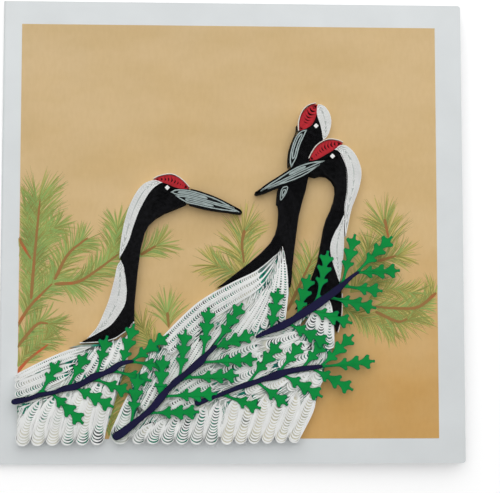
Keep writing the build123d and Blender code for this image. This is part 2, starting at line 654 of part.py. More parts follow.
# Sprays: stem points with widths, then sprigs from base to tip
SPRAYS = {
    "left_spray": (
        [(-70.0, -55.2, 1.9), (-65, -54.2, 1.5), (-61.5, -52.9, 1.5), (-57, -52.2, 1.3), (-54, -51.0, 1.9),
         (-50.5, -50.4, 2.2), (-47.5, -49.0, 1.8), (-44.5, -47.2, 2.4), (-41, -46.0, 1.5),
         (-38.5, -44.8, 2.2),
         (-36, -43.0, 1.6), (-32.2, -42.3, 1.0)],
        [((-61.3, -52.4), (-55.3, -42.0)), ((-52.3, -50.0), (-46.6, -39.5)), ((-43.6, -46.6),
         (-40.3, -34.0)),
         ((-35.5, -43.0), (-31.8, -30.2)), ((-32.4, -42.2), (-20.8, -33.8)), ((-32.4, -42.4),
         (-20.5, -44.2)),
         ((-57.5, -52.6), (-47.6, -62.2)), ((-50.0, -50.8), (-38.0, -57.0)), ((-44.5, -47.8),
         (-32.8, -52.4)),
         ((-38.5, -45.2), (-26.0, -48.6))], 0),
    "centre_spray": (
        [(-38.0, -66.4, 2.3), (-35.5, -65.0, 2.6), (-32.5, -62.6, 2.3), (-29, -59.8, 1.8),
         (-26, -57.3, 2.1),
         (-23.5, -54.2, 2.6), (-20.5, -50.7, 1.7), (-18.5, -48.8, 2.3), (-15.5, -46.4, 1.8),
         (-10.8, -42.5, 2.7),
         (-9, -40.4, 1.6), (-7.3, -38.8, 1.5), (-5.7, -37.4, 1.1)],
        [((-32.5, -62.4), (-30.4, -46.0)), ((-23.7, -54.0), (-22.4, -40.2)), ((-17.2, -47.6),
         (-15.4, -32.0)),
         ((-9.9, -41.4), (-8.0, -24.9)), ((-6.4, -37.8), (2.9, -23.6)), ((-6.0, -37.8), (6.6, -33.6)),
         ((-10.2, -42.6), (7.7, -41.6)), ((-16.8, -47.6), (1.8, -46.8)), ((-22.5, -53.4), (-5.2, -52.6)),
         ((-27.5, -58.6), (-10.8, -58.4))], 2),
    "upper_spray": (
        [(7.2, -34.6, 1.0), (10, -33.2, 1.6), (13.5, -31.8, 2.2), (16.5, -30.4, 2.6), (19, -29.0, 2.0),
         (21.5, -27.4, 2.6), (25, -25.2, 2.6), (28, -23.1, 2.9), (30.5, -21.4, 2.3), (33, -19.5, 2.5),
         (35.5, -17.3, 1.6), (38, -15.1, 1.2), (40.2, -13.6, 0.8)],
        [((11.8, -32.6), (14.3, -18.7)), ((20.3, -27.8), (24.5, -14.3)), ((26.5, -24.0), (30.4, -6.6)),
         ((35.0, -17.4), (39.2, -1.2)), ((39.6, -13.8), (51.3, -1.9)), ((39.8, -13.8), (53.8, -13.1)),
         ((35.2, -18.2), (48.1, -19.8)), ((31.0, -21.8), (46.0, -25.3)), ((24.5, -25.8), (38.2, -30.2)),
         ((17.5, -30.2), (30.6, -37.0))], 1),
    "lower_spray": (
        [(-12.1, -55.7, 1.8), (-8, -54.3, 1.2), (-4, -52.8, 1.4), (0, -51.1, 1.4), (4, -49.8, 2.0),
         (7, -48.9, 1.6), (10, -47.9, 1.7), (13.5, -46.8, 2.9), (17, -45.6, 1.8), (21, -44.8, 1.8),
         (25, -44.3, 1.6), (28.2, -43.9, 1.0)],
        [((4.6, -49.3), (15.0, -36.0)), ((13.8, -46.6), (22.0, -36.2)), ((21.8, -44.8), (29.2, -35.8)),
         ((28.2, -43.9), (38.6, -33.6)), ((28.0, -44.0), (45.5, -42.2)), ((25.2, -44.6), (38.4, -51.6)),
         ((15.5, -46.4), (28.6, -53.8)), ((7.5, -48.9), (17.4, -56.4)), ((-3.5, -52.9), (8.8, -57.4))], 0),
}


def sprig_face(base, tip):
    """A stalk with tiers of lobed leaflets, cut from one sheet."""
    base = at(*base)
    tip = at(*tip)
    run = (tip - base).normalized()
    side = Vector(-run.Y, run.X)
    length = (tip - base).length
    pitch = LOBE_PITCH * STEP
    reach = LOBE_REACH * STEP
    tiers = 3 if length > LONG_SPRIG * pitch else 2
    leaf_start = length - (tiers + TIP_BEYOND) * pitch
    profile = [(0, STALK_WIDTH / 2), (leaf_start, STALK_WIDTH / 2)]
    for tier in range(tiers):
        place = tier + (LAST_LOBE_AT if tier == tiers - 1 else LOBE_AT)
        lobe = reach * (FIRST_LOBE_SHARE if tier == 0 else 1)
        profile.append((leaf_start + place * pitch, lobe))
        profile.append((leaf_start + (place + NOTCH_AFTER) * pitch, reach * WAIST_SHARE))
    left = [base + run * s + side * w for s, w in profile]
    right = [base + run * s - side * w for s, w in profile]
    return polygon(left + [tip] + right[::-1])


def stem_face(stem):
    points = [at(x, y) for x, y, width in stem]
    widths = [width * STEP for x, y, width in stem]
    return polygon(ribbon(points, widths))


def spray_faces(stem, sprigs):
    """The green sheet under the stem, and the stem."""
    stem_outline = stem_face(stem)
    leaves = Sketch() + [sprig_face(*sprig) for sprig in sprigs] + stem_outline
    return largest(leaves), stem_outline


# Assembly
COIL_BASE = 3 * INK_THICKNESS
COIL_TOP = COIL_BASE + STRIP_HEIGHT


def write(name, solids):
    export_step(Compound(label=name, children=list(solids)), f"parts/{name}.step")


def main():
    os.makedirs("parts", exist_ok=True)
    write("card_blank", [folded_card().solid()])
    write("print_ground", [raised(print_ground(), 0, INK_THICKNESS)])
    write("print_birds", [raised(face, INK_THICKNESS, INK_THICKNESS) for face in print_birds()])
    write("print_needles", [raised(face, INK_THICKNESS, INK_THICKNESS) for face in print_needles()])
    write("print_twigs", [raised(face, 2 * INK_THICKNESS, INK_THICKNESS) for face in print_twigs()])

    rows = {name: feather_row(*row) for name, row in FEATHER_ROWS.items()}
    for name, feathers in rows.items():
        write(name, [raised(polygon(*feather), COIL_BASE, STRIP_HEIGHT) for feather in feathers])

    cranes = {"left": LEFT_CRANE, "middle": MIDDLE_CRANE, "right": RIGHT_CRANE}
    for crane, pieces in cranes.items():
        for name, piece in pieces.items():
            base = COIL_TOP if name == "eye" else COIL_BASE
            height = EYE_THICKNESS if name == "eye" else STRIP_HEIGHT
            write(f"{crane}_{name}", [raised(polygon(*piece), base, height)])

    for name, face in necks(rows).items():
        write(name, [raised(face, COIL_BASE, STRIP_HEIGHT)])
    write("right_neck_rim", [raised(polygon(*strip(RIGHT_NECK_RIM)), COIL_BASE, STRIP_HEIGHT)])

    for name, (stem, sprigs, level) in SPRAYS.items():
        leaves, stem_outline = spray_faces(stem, sprigs)
        base = COIL_TOP + level * LEAF_THICKNESS
        write(f"{name}_leaves", [raised(leaves, base, LEAF_THICKNESS)])
        write(f"{name}_stem", [raised(stem_outline, base + LEAF_THICKNESS, STEM_THICKNESS)])


if __name__ == "__main__":
    main()
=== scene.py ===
import bpy
import bmesh
import math
import random
from mathutils import Matrix, Vector
from mathutils.geometry import tessellate_polygon


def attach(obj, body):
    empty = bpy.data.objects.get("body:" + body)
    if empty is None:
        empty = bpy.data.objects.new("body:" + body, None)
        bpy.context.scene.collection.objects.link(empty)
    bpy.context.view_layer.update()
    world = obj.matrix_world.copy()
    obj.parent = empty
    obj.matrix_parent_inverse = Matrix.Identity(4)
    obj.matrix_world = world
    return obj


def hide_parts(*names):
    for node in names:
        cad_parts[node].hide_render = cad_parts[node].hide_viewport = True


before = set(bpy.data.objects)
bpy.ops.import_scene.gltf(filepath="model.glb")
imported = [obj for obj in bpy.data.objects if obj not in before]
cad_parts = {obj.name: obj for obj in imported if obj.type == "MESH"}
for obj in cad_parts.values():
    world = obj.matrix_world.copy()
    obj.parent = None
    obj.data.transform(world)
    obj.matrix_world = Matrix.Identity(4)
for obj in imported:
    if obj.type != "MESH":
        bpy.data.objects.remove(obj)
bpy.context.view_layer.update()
random.seed(11)
scene = bpy.context.scene
NODES = sorted(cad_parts)

# Millimetres on the front panel: x across the picture, y up it, h out of it.
PER_METRE = 1000
CARD = 150.0
FOLD_OUTER = 0.9
SPRING = math.radians(1.1)
# The lower left and the upper right corner of the printed field
PRINT_LOW = Vector((-69.0, -67.0))
PRINT_HIGH = Vector((66.4, 67.4))
# Heights, and the thickness of the leaves and their stems
SAND_TOP = 0.05
TWIG_BASE = 0.1
COIL_BASE = 0.15
COIL_TOP = 3.15
LEAF = 0.45
STEM = 0.35
# A face looks out of the panel from this cosine on
FACING = 0.99
# A line of fewer points isn't drawn
FEWEST_POINTS = 3
# The highest phase of a wave in radians, nearly a full turn
PHASES = 6
TINY = 1e-9

ALONG = Vector((math.cos(SPRING), 0, math.sin(SPRING)))
OUT = Vector((-math.sin(SPRING), 0, math.cos(SPRING)))
MIDDLE = (Vector((FOLD_OUTER - CARD / 2, 0, FOLD_OUTER)) + OUT * FOLD_OUTER
          + ALONG * (CARD / 2 - FOLD_OUTER))


def to_row(x, y, h):
    """Panel millimetres to the frame's metres."""
    return (MIDDLE + ALONG * x + Vector((0, y, 0)) + OUT * h) / PER_METRE


def to_front(point):
    """The frame's metres to panel millimetres, without the height."""
    p = Vector(point) * PER_METRE - MIDDLE
    return Vector((p.dot(ALONG), p.y))


# ---------- closed outlines
def around(loop):
    """Each point of a closed line with the one after it."""
    return zip(loop, loop[1:] + loop[:1])


def area(loop):
    return sum(a.x * b.y - a.y * b.x for a, b in around(loop)) / 2


def centre(loop):
    return sum(loop, Vector((0, 0))) / len(loop)


def nearest(loop, x, y):
    """The index of the point that lies closest to a place."""
    return min(range(len(loop)), key=lambda k: (loop[k] - Vector((x, y))).length)


def sharp(loop, index):
    """How sharp a corner is: 1 for a needle's point and -1 for a straight run."""
    a, b, c = loop[index - 1], loop[index], loop[(index + 1) % len(loop)]
    return (a - b).normalized().dot((c - b).normalized())


def tip_of(loop):
    return max(range(len(loop)), key=lambda i: sharp(loop, i))


def chains(loop, i, j):
    """The two sides of a closed outline between two of its points."""
    n = len(loop)
    one = [loop[(i + k) % n] for k in range((j - i) % n + 1)]
    two = [loop[(i - k) % n] for k in range((i - j) % n + 1)]
    return one, two


def rounded(loop, times=2, keep=0.2):
    """A closed outline with its corners cut."""
    for _ in range(times):
        result = []
        for a, b in around(loop):
            result.append(a.lerp(b, keep))
            result.append(a.lerp(b, 1 - keep))
        loop = result
    return loop


def curved(loop, shortest=0.5):
    """A closed outline with a point added on each long side, on a curve through the corners."""
    result = []
    n = len(loop)
    for i in range(n):
        a, b, c, d = [loop[(i + k) % n] for k in (-1, 0, 1, 2)]
        result.append(b)
        if (c - b).length > shortest:
            result.append((b + c) * (9 / 16) - (a + d) * (1 / 16))
    return result


def swell(loop, by, blunt=0.6):
    """A closed outline moved out by a distance, and by less where a corner is sharp."""
    result = []
    n = len(loop)
    for i in range(n):
        a, b, c = loop[i - 1], loop[i], loop[(i + 1) % n]
        one = (b - a).normalized()
        two = (c - b).normalized()
        side = Vector((one.y + two.y, -one.x - two.x))
        result.append(b + side * (by / max(1 + one.dot(two), blunt)))
    return result


def shrunk(loop, by):
    return swell(loop, -by)


def inside(point, loop):
    result = False
    for a, b in around(loop):
        if (a.y > point.y) != (b.y > point.y):
            if point.x < a.x + (point.y - a.y) * (b.x - a.x) / (b.y - a.y):
                result = not result
    return result


def near_edge(point, loop, gap):
    for a, b in around(loop):
        run = b - a
        t = min(max((point - a).dot(run) / run.length_squared, 0), 1)
        if (point - a - run * t).length < gap:
            return True
    return False


def framed(loop):
    """An outline with its lowest and highest corner."""
    xs = [q.x for q in loop]
    ys = [q.y for q in loop]
    return loop, Vector((min(xs), min(ys))), Vector((max(xs), max(ys)))


def crowded(point, loops, gap):
    """Whether a point lies in one of the framed outlines, or closer to it than the gap."""
    for loop, low, high in loops:
        if low.x - gap < point.x < high.x + gap and low.y - gap < point.y < high.y + gap:
            if inside(point, loop) or near_edge(point, loop, gap):
                return True
    return False


def outlines(node):
    """The outer outline of each top face of a node, counter-clockwise."""
    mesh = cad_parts[node].data
    points = {}
    edges = {}
    for face in mesh.polygons:
        if face.normal.dot(OUT) < FACING:
            continue
        keys = []
        for index in face.vertices:
            flat = to_front(mesh.vertices[index].co)
            key = (round(flat.x, 3), round(flat.y, 3))
            points[key] = flat
            keys.append(key)
        edges.update(dict.fromkeys(around(keys)))
    rim = {a: b for a, b in edges if (b, a) not in edges}
    loops = []
    while rim:
        first = next(iter(rim))
        loop = [first]
        while rim.get(loop[-1]) not in (None, first):
            loop.append(rim.pop(loop[-1]))
        rim.pop(loop[-1], None)
        loops.append([points[key] for key in loop])
    return [loop for loop in loops if area(loop) > 0]


# ---------- open lines
def catmull(points, parts):
    """A smooth line through the points, with each span in a number of parts."""
    ends = [points[0] * 2 - points[1]] + list(points) + [points[-1] * 2 - points[-2]]
    result = [points[0].copy()]
    for a, b, c, d in zip(ends, ends[1:], ends[2:], ends[3:]):
        for k in range(1, parts + 1):
            t = k / parts
            result.append(b + (c - a) * (t / 2) + (a * 2 - b * 5 + c * 4 - d) * (t * t / 2)
                          + (b * 3 - a - c * 3 + d) * (t ** 3 / 2))
    return result


def runs(points):
    """How far along a line each of its points lies."""
    lengths = [0]
    for a, b in zip(points, points[1:]):
        lengths.append(lengths[-1] + (b - a).length)
    return lengths


def along(points, lengths, s):
    """The point at a run of s."""
    s = min(max(s, 0), lengths[-1])
    for i in range(1, len(points)):
        if s <= lengths[i] or i == len(points) - 1:
            span = max(lengths[i] - lengths[i - 1], TINY)
            return points[i - 1].lerp(points[i], min((s - lengths[i - 1]) / span, 1))


def spaced(points, count):
    """A line with the same course and evenly spaced points."""
    lengths = runs(points)
    return [along(points, lengths, lengths[-1] * k / (count - 1)) for k in range(count)]


class Spine:
    """The middle line of a coil with its half-width, from the pinched tip on."""

    PARTS = 6

    def __init__(self, points, halves):
        self.points = catmull(points, self.PARTS)
        flat = [Vector((k, h)) for k, h in enumerate(halves)]
        self.halves = [max(q.y, 0) for q in catmull(flat, self.PARTS)]
        self.lengths = runs(self.points)
        self.total = self.lengths[-1]
        self.widest = max(self.halves)

    def at(self, s):
        """The point, the unit vector to its left and the half-width at a run of s."""
        s = min(max(s, 0), self.total)
        k = 1
        while k < len(self.lengths) - 1 and self.lengths[k] < s:
            k += 1
        a, b = self.points[k - 1], self.points[k]
        share = (s - self.lengths[k - 1]) / max(self.lengths[k] - self.lengths[k - 1], TINY)
        # The direction comes from points further off, so that it turns smoothly.
        before = self.points[max(k - 3, 0)]
        after = self.points[min(k + 2, len(self.points) - 1)]
        run = (after - before).normalized()
        half = self.halves[k - 1] * (1 - share) + self.halves[k] * share
        return a.lerp(b, share), Vector((-run.y, run.x)), half


# ---------- meshes
def new_object(name, data):
    obj = bpy.data.objects.new(name, data)
    scene.collection.objects.link(obj)
    return obj


class Piece:
    """Faces gathered in panel millimetres and then placed as one object."""

    def __init__(self):
        self.points = []
        self.faces = []
        self.marks = []

    def add(self, points, faces, mark):
        base = len(self.points)
        self.points += points
        self.faces += [[base + i for i in face] for face in faces]
        self.marks += [mark] * len(faces)

    def slab(self, loop, low, high, mark=0):
        """A flat sheet with a straight edge."""
        if area(loop) < 0:
            loop = loop[::-1]
        n = len(loop)
        faces = []
        for tri in tessellate_polygon([[Vector((p.x, p.y, 0)) for p in loop]]):
            a, b, c = [loop[i] for i in tri]
            if (b - a).x * (c - a).y - (b - a).y * (c - a).x < 0:
                tri = tri[::-1]
            faces.append([i + n for i in tri])
            faces.append(list(tri[::-1]))
        faces += [[i, (i + 1) % n, (i + 1) % n + n, i + n] for i in range(n)]
        self.add([(p.x, p.y, h) for h in (low, high) for p in loop], faces, mark)

    def wall(self, line, widths, low, high, closed=False, mark=0):
        """A paper strip standing on edge."""
        n = len(line)
        points = []
        for i, p in enumerate(line):
            if closed:
                before, after = line[i - 1], line[(i + 1) % n]
            else:
                before, after = line[max(i - 1, 0)], line[min(i + 1, n - 1)]
            run = after - before
            run = run.normalized() if run.length > TINY else Vector((1, 0))
            side = Vector((-run.y, run.x)) * (widths[i] / 2)
            for q, h in ((p + side, low), (p - side, low), (p - side, high), (p + side, high)):
                points.append((q.x, q.y, h))
        faces = []
        for i in range(n if closed else n - 1):
            a, b = 4 * i, 4 * ((i + 1) % n)
            for k in range(4):
                m = (k + 1) % 4
                faces.append([a + m, b + m, b + k, a + k])
        if not closed:
            last = 4 * (n - 1)
            faces += [[3, 2, 1, 0], [last, last + 1, last + 2, last + 3]]
        self.add(points, faces, mark)

    def place(self, name, materials, slot, nodes=()):
        mesh = bpy.data.meshes.new(name)
        mesh.from_pydata([to_row(*p) for p in self.points], [], self.faces)
        mesh.update()
        obj = new_object(name, mesh)
        for material in materials:
            mesh.materials.append(material)
        for face, mark in zip(mesh.polygons, self.marks):
            face.material_index = mark
            face.use_smooth = False
        bm = bmesh.new()
        bm.from_mesh(mesh)
        bmesh.ops.recalc_face_normals(bm, faces=bm.faces)
        bm.to_mesh(mesh)
        bm.free()
        if nodes:
            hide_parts(*nodes)
        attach(obj, "root")
        return obj


# ---------- materials; places and heights in metres
INK_ROUGH = 0.75
FIBRE_SCALE = 6000.0
FIBRE_DETAIL = 4.0
FIBRE_HEIGHT = 0.0001


def shader(name):
    material = bpy.data.materials.new(name)
    material.use_nodes = True
    tree = material.node_tree
    return material, tree, tree.nodes["Principled BSDF"]


def place_on(tree):
    """The place on the object."""
    return tree.nodes.new("ShaderNodeTexCoord").outputs["Object"]


def noise(tree, scale, detail=3.0, stretch=(1, 1, 1)):
    mapping = tree.nodes.new("ShaderNodeMapping")
    mapping.inputs["Scale"].default_value = stretch
    tree.links.new(place_on(tree), mapping.inputs["Vector"])
    texture = tree.nodes.new("ShaderNodeTexNoise")
    texture.inputs["Scale"].default_value = scale
    texture.inputs["Detail"].default_value = detail
    tree.links.new(mapping.outputs["Vector"], texture.inputs["Vector"])
    return texture.outputs["Fac"]


def maths(tree, operation, *values, clamp=False):
    """The result of a Math node, whose values are floats or the outputs of other nodes."""
    node = tree.nodes.new("ShaderNodeMath")
    node.operation = operation
    node.use_clamp = clamp
    for socket, value in zip(node.inputs, values):
        if isinstance(value, float):
            socket.default_value = value
        else:
            tree.links.new(value, socket)
    return node.outputs[0]


def blend(tree, factor, colours):
    """A ramp through linear colours, each one with its place on it."""
    ramp = tree.nodes.new("ShaderNodeValToRGB")
    stops = ramp.color_ramp.elements
    stops[0].position, stops[1].position = colours[0][0], colours[-1][0]
    stops[0].color, stops[1].color = (*colours[0][1], 1), (*colours[-1][1], 1)
    for position, colour in colours[1:-1]:
        stops.new(position).color = (*colour, 1)
    tree.links.new(factor, ramp.inputs["Fac"])
    return ramp.outputs["Color"]


def tinted(tree, colour, tint):
    """One colour multiplied by another; the Mix node's colours are inputs 6 and 7."""
    mix = tree.nodes.new("ShaderNodeMix")
    mix.data_type = "RGBA"
    mix.blend_type = "MULTIPLY"
    mix.inputs[0].default_value = 1
    tree.links.new(colour, mix.inputs[6])
    tree.links.new(tint, mix.inputs[7])
    return mix.outputs[2]


def rgb(*display):
    """Linear colour from display values of 0 to 255."""
    return tuple(((c / 255 + 0.055) / 1.055) ** 2.4 if c > 10 else c / 255 / 12.92
                 for c in display)


def paper(name, display, spread, scale=900.0, rough=0.8, bump=0.15, shine=0.3):
    """Uncoated paper: slightly uneven colour and a fine fibre grain."""
    material, tree, bsdf = shader(name)
    colour = rgb(*display)
    dark = tuple(c * (1 - spread * 2) for c in colour)
    light = tuple(min(c * (1 + spread), 1) for c in colour)
    uneven = blend(tree, noise(tree, scale), [(0.3, dark), (0.7, light)])
    tree.links.new(uneven, bsdf.inputs["Base Color"])
    bsdf.inputs["Roughness"].default_value = rough
    bsdf.inputs["Specular IOR Level"].default_value = shine
    grain = tree.nodes.new("ShaderNodeBump")
    grain.inputs["Strength"].default_value = bump
    grain.inputs["Distance"].default_value = FIBRE_HEIGHT
    tree.links.new(noise(tree, FIBRE_SCALE, FIBRE_DETAIL), grain.inputs["Height"])
    tree.links.new(grain.outputs["Normal"], bsdf.inputs["Normal"])
    return material


def printed(name, scale, stops, detail=2.0, shine=0.2):
    """Ink in patches; each stop is a place on the ramp and a display colour."""
    material, tree, bsdf = shader(name)
    colours = [(place, rgb(*display)) for place, *display in stops]
    tree.links.new(blend(tree, noise(tree, scale, detail), colours), bsdf.inputs["Base Color"])
    bsdf.inputs["Roughness"].default_value = INK_ROUGH
    bsdf.inputs["Specular IOR Level"].default_value = shine
    return material


# The sand's shade: how it changes for each metre up and to the right, in the middle, and
# with the mottling
SAND_UP = -5.5
SAND_RIGHT = 1.5
SAND_MIDDLE = 0.42
SAND_MOTTLE = 0.35


def sand_ink():
    """The printed field: warmer and darker to the lower right, mottled and faintly woven."""
    material, tree, bsdf = shader("print_ground_ink")
    split = tree.nodes.new("ShaderNodeSeparateXYZ")
    tree.links.new(place_on(tree), split.inputs[0])
    up = maths(tree, "MULTIPLY_ADD", split.outputs["Y"], SAND_UP, SAND_MIDDLE)
    slant = maths(tree, "MULTIPLY_ADD", split.outputs["X"], SAND_RIGHT, up)
    mottling = noise(tree, scale=70.0, detail=4.0)
    mottled = maths(tree, "MULTIPLY_ADD", mottling, SAND_MOTTLE, slant)
    field = blend(tree, mottled, [
        (0.15, rgb(214, 186, 140)), (0.66, rgb(220, 188, 135)), (1.02, rgb(213, 167, 98))])
    streaks = blend(tree, noise(tree, scale=26.0, detail=5.0, stretch=(1, 2.6, 1)), [
        (0.38, (0.93, 0.91, 0.84)), (0.62, (1, 1, 1))])
    threads = blend(tree, noise(tree, scale=900.0, detail=3.0, stretch=(1, 0.4, 1)), [
        (0.35, (0.975, 0.965, 0.955)), (0.65, (1, 1, 1))])
    woven = tinted(tree, tinted(tree, field, streaks), threads)
    tree.links.new(woven, bsdf.inputs["Base Color"])
    bsdf.inputs["Roughness"].default_value = INK_ROUGH
    return material


# Each paper: its display colour, then how it is made
PAPERS = {
    "card_paper": ((226, 230, 231), dict(spread=0.02, scale=60.0, rough=0.7)),
    "feather_paper": ((247, 248, 246), dict(spread=0.03, scale=300.0)),
    # The napes' core: the white paper greyed, painted shade between the turns
    "nape_painted_shade": ((204, 208, 205), dict(spread=0.08, scale=700.0)),
    "black_paper": ((18, 18, 20), dict(spread=0.35, shine=0.06)),
    # The necks' core: darker than the black paper, painted shade between the ribs
    "black_painted_shade": ((5, 5, 6), dict(spread=0.1, scale=400.0, rough=0.9, shine=0.05)),
    "red_paper": ((184, 22, 36), dict(spread=0.08, scale=500.0, rough=0.65)),
    # The crowns' core: as dark as the print below, tinted red as painted shade of the deep gaps
    # between the red turns
    "red_core_painted_shade": ((30, 8, 12), dict(spread=0.1, scale=500.0)),
    "beak_paper": ((168, 182, 180), dict(spread=0.05, scale=500.0)),
    # The beaks' core: dark like the print below, and darker still as painted shade of the deep
    # gaps
    "beak_core_painted_shade": ((16, 20, 22), dict(spread=0.1, scale=500.0)),
    "rim_paper": ((234, 226, 216), dict(spread=0.04, scale=500.0)),
    "eye_paper": ((240, 240, 238), dict(spread=0.02, scale=500.0)),
    "leaf_paper": ((5, 143, 64), dict(spread=0.08, scale=160.0, rough=0.7, bump=0.1, shine=0.12)),
    # The leaves' bevel: dark teal, painted shade along their edges
    "leaf_edge": ((4, 98, 78), dict(spread=0.08, scale=200.0, rough=0.7, bump=0.1, shine=0.1)),
    "stem_paper": ((25, 23, 58), dict(spread=0.12, scale=160.0, rough=0.7, bump=0.1, shine=0.1)),
    # The stems' bevel: darker navy, painted shade along their edges
    "stem_edge": ((16, 14, 42), dict(spread=0.12, scale=200.0, rough=0.7, bump=0.1, shine=0.08)),
    "needle_ink": ((146, 176, 98), dict(spread=0.1, scale=120.0, bump=0.05)),
    "needle_olive": ((150, 145, 74), dict(spread=0.12, scale=120.0, bump=0.05)),
    "needle_wash": ((190, 184, 110), dict(spread=0.06, scale=80.0, bump=0.05)),
    "yellow_wash": ((204, 188, 110), dict(spread=0.06, scale=80.0, bump=0.05)),
    "dark_ink": ((24, 24, 26), dict(spread=0.1, scale=200.0, bump=0.05)),
}
# The printed bird field, and the cores that show between the turns of the white coils: how fine
# the patches are, then the stops from dark and leaf green to white. The white is paper and print;
# the dark and green stops are painted shade of the deep gaps, tinted green by the leaves, and
# pale and warm in the cream feathers
INKS = {
    "print_birds_and_painted_shade": (210.0, [
        (0.3, 70, 84, 84), (0.37, 52, 140, 112), (0.42, 214, 216, 214), (0.7, 226, 228, 226)]),
    "coil_shade": (130.0, [
        (0.41, 16, 18, 26), (0.45, 12, 70, 70), (0.5, 10, 152, 122), (0.54, 84, 118, 110),
        (0.6, 170, 178, 172), (0.7, 214, 212, 194)]),
    "coil_shade_soft": (120.0, [
        (0.36, 70, 76, 78), (0.41, 40, 140, 112), (0.46, 206, 210, 204), (0.7, 222, 220, 206)]),
    "coil_shade_packed": (150.0, [
        (0.36, 24, 28, 34), (0.41, 14, 92, 84), (0.46, 14, 150, 120), (0.5, 140, 154, 148),
        (0.58, 192, 198, 192), (0.68, 220, 218, 204)]),
    "coil_shade_cream": (120.0, [
        (0.34, 120, 124, 116), (0.4, 188, 186, 166), (0.5, 214, 210, 190), (0.7, 226, 222, 206)]),
}
looks = {name: paper(name, display, **made) for name, (display, made) in PAPERS.items()}
looks.update({name: printed(name, *row) for name, row in INKS.items()})
looks["print_ground_ink"] = sand_ink()
looks["twig_ink"] = printed("twig_ink", 110.0, [
    (0.34, 190, 88, 44), (0.42, 156, 108, 54), (0.7, 148, 114, 58)], detail=3.0, shine=0.5)

# The card, the sand print, and the bird field: white print with painted shade in dark and green
# patches
for node, look in (("card_blank", "card_paper"), ("print_ground", "print_ground_ink"),
                   ("print_birds", "print_birds_and_painted_shade")):
    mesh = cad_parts[node].data
    mesh.materials.clear()
    mesh.materials.append(looks[look])


# ---------- quilled coils
STRIP = 0.17
# How deep the cores lie under the tops; the cores carry painted shade in the place of the deep
# gaps between the turns
CORE_TOP = COIL_TOP - 0.7
SOFT_CORE_TOP = COIL_TOP - 0.4
# Feathers whose cores carry paler painted shade and lie less deep than those of the others
SOFT = {
    "left_skirt_feathers": "coil_shade_soft", "left_back_feathers": "coil_shade_soft",
    "right_rump_feathers": "coil_shade_soft", "right_corner_feather": "coil_shade_soft",
    "right_tail_feathers": "coil_shade_cream",
}

# A feather: how far its outer turn reaches past the outline, the share of its full width that
# the outline has two points before the round end, and how its core is laid
OVERHANG = 0.08
END_SHARE = 0.8
FEATHER_INSET = 0.03
CORE_LIFT = 0.05
# The gap between turns at the round end, how it grows with the half-width, and how much it
# differs from feather to feather, turn to turn and crescent to crescent
GAP_BASE = 0.4
GAP_GROWTH = 0.3
GAP_MOST = 0.95
FEATHER_RANGE = (0.92, 1.08)
TURN_RANGE = (0.93, 1.07)
CRESCENT_RANGE = (0.85, 1.15)
# A strip's thickness at the round end, as a share of the gap, and how far that reaches
SLIM_HALF = 1.3
SLIM_THICK = 0.5
WIDE_THICK = 0.6
THICK_RUN = 0.9
# A loop's line: the length of its round end, and the stations along it
CAP_LENGTH = 1.1
CAP_MEASURED_AT = 0.8
CAP_MOST = 0.8
CAP_STATIONS = 6
STATION_RUN = 1.6
FEWEST_STATIONS = 6
# The turns
FEWEST_TURNS = 2
MOST_TURNS = 5
TURN_ROOM = 0.2
CRESCENT_ROOM = 0.7
SIDE_PITCH = 0.185
FIRST_START = 0.12
START_PITCH = 0.3
TURN_LEAN = 0.04
TURN_DIP = 0.08
# The crescents
CRESCENT = 0.15
CRESCENT_INSET = 0.18
CRESCENT_LEG = 0.5
CRESCENT_LEAN = 0.06
CRESCENT_DIP = 0.2
LEAST_HALF = 0.16
BARE_SHARE = 0.2


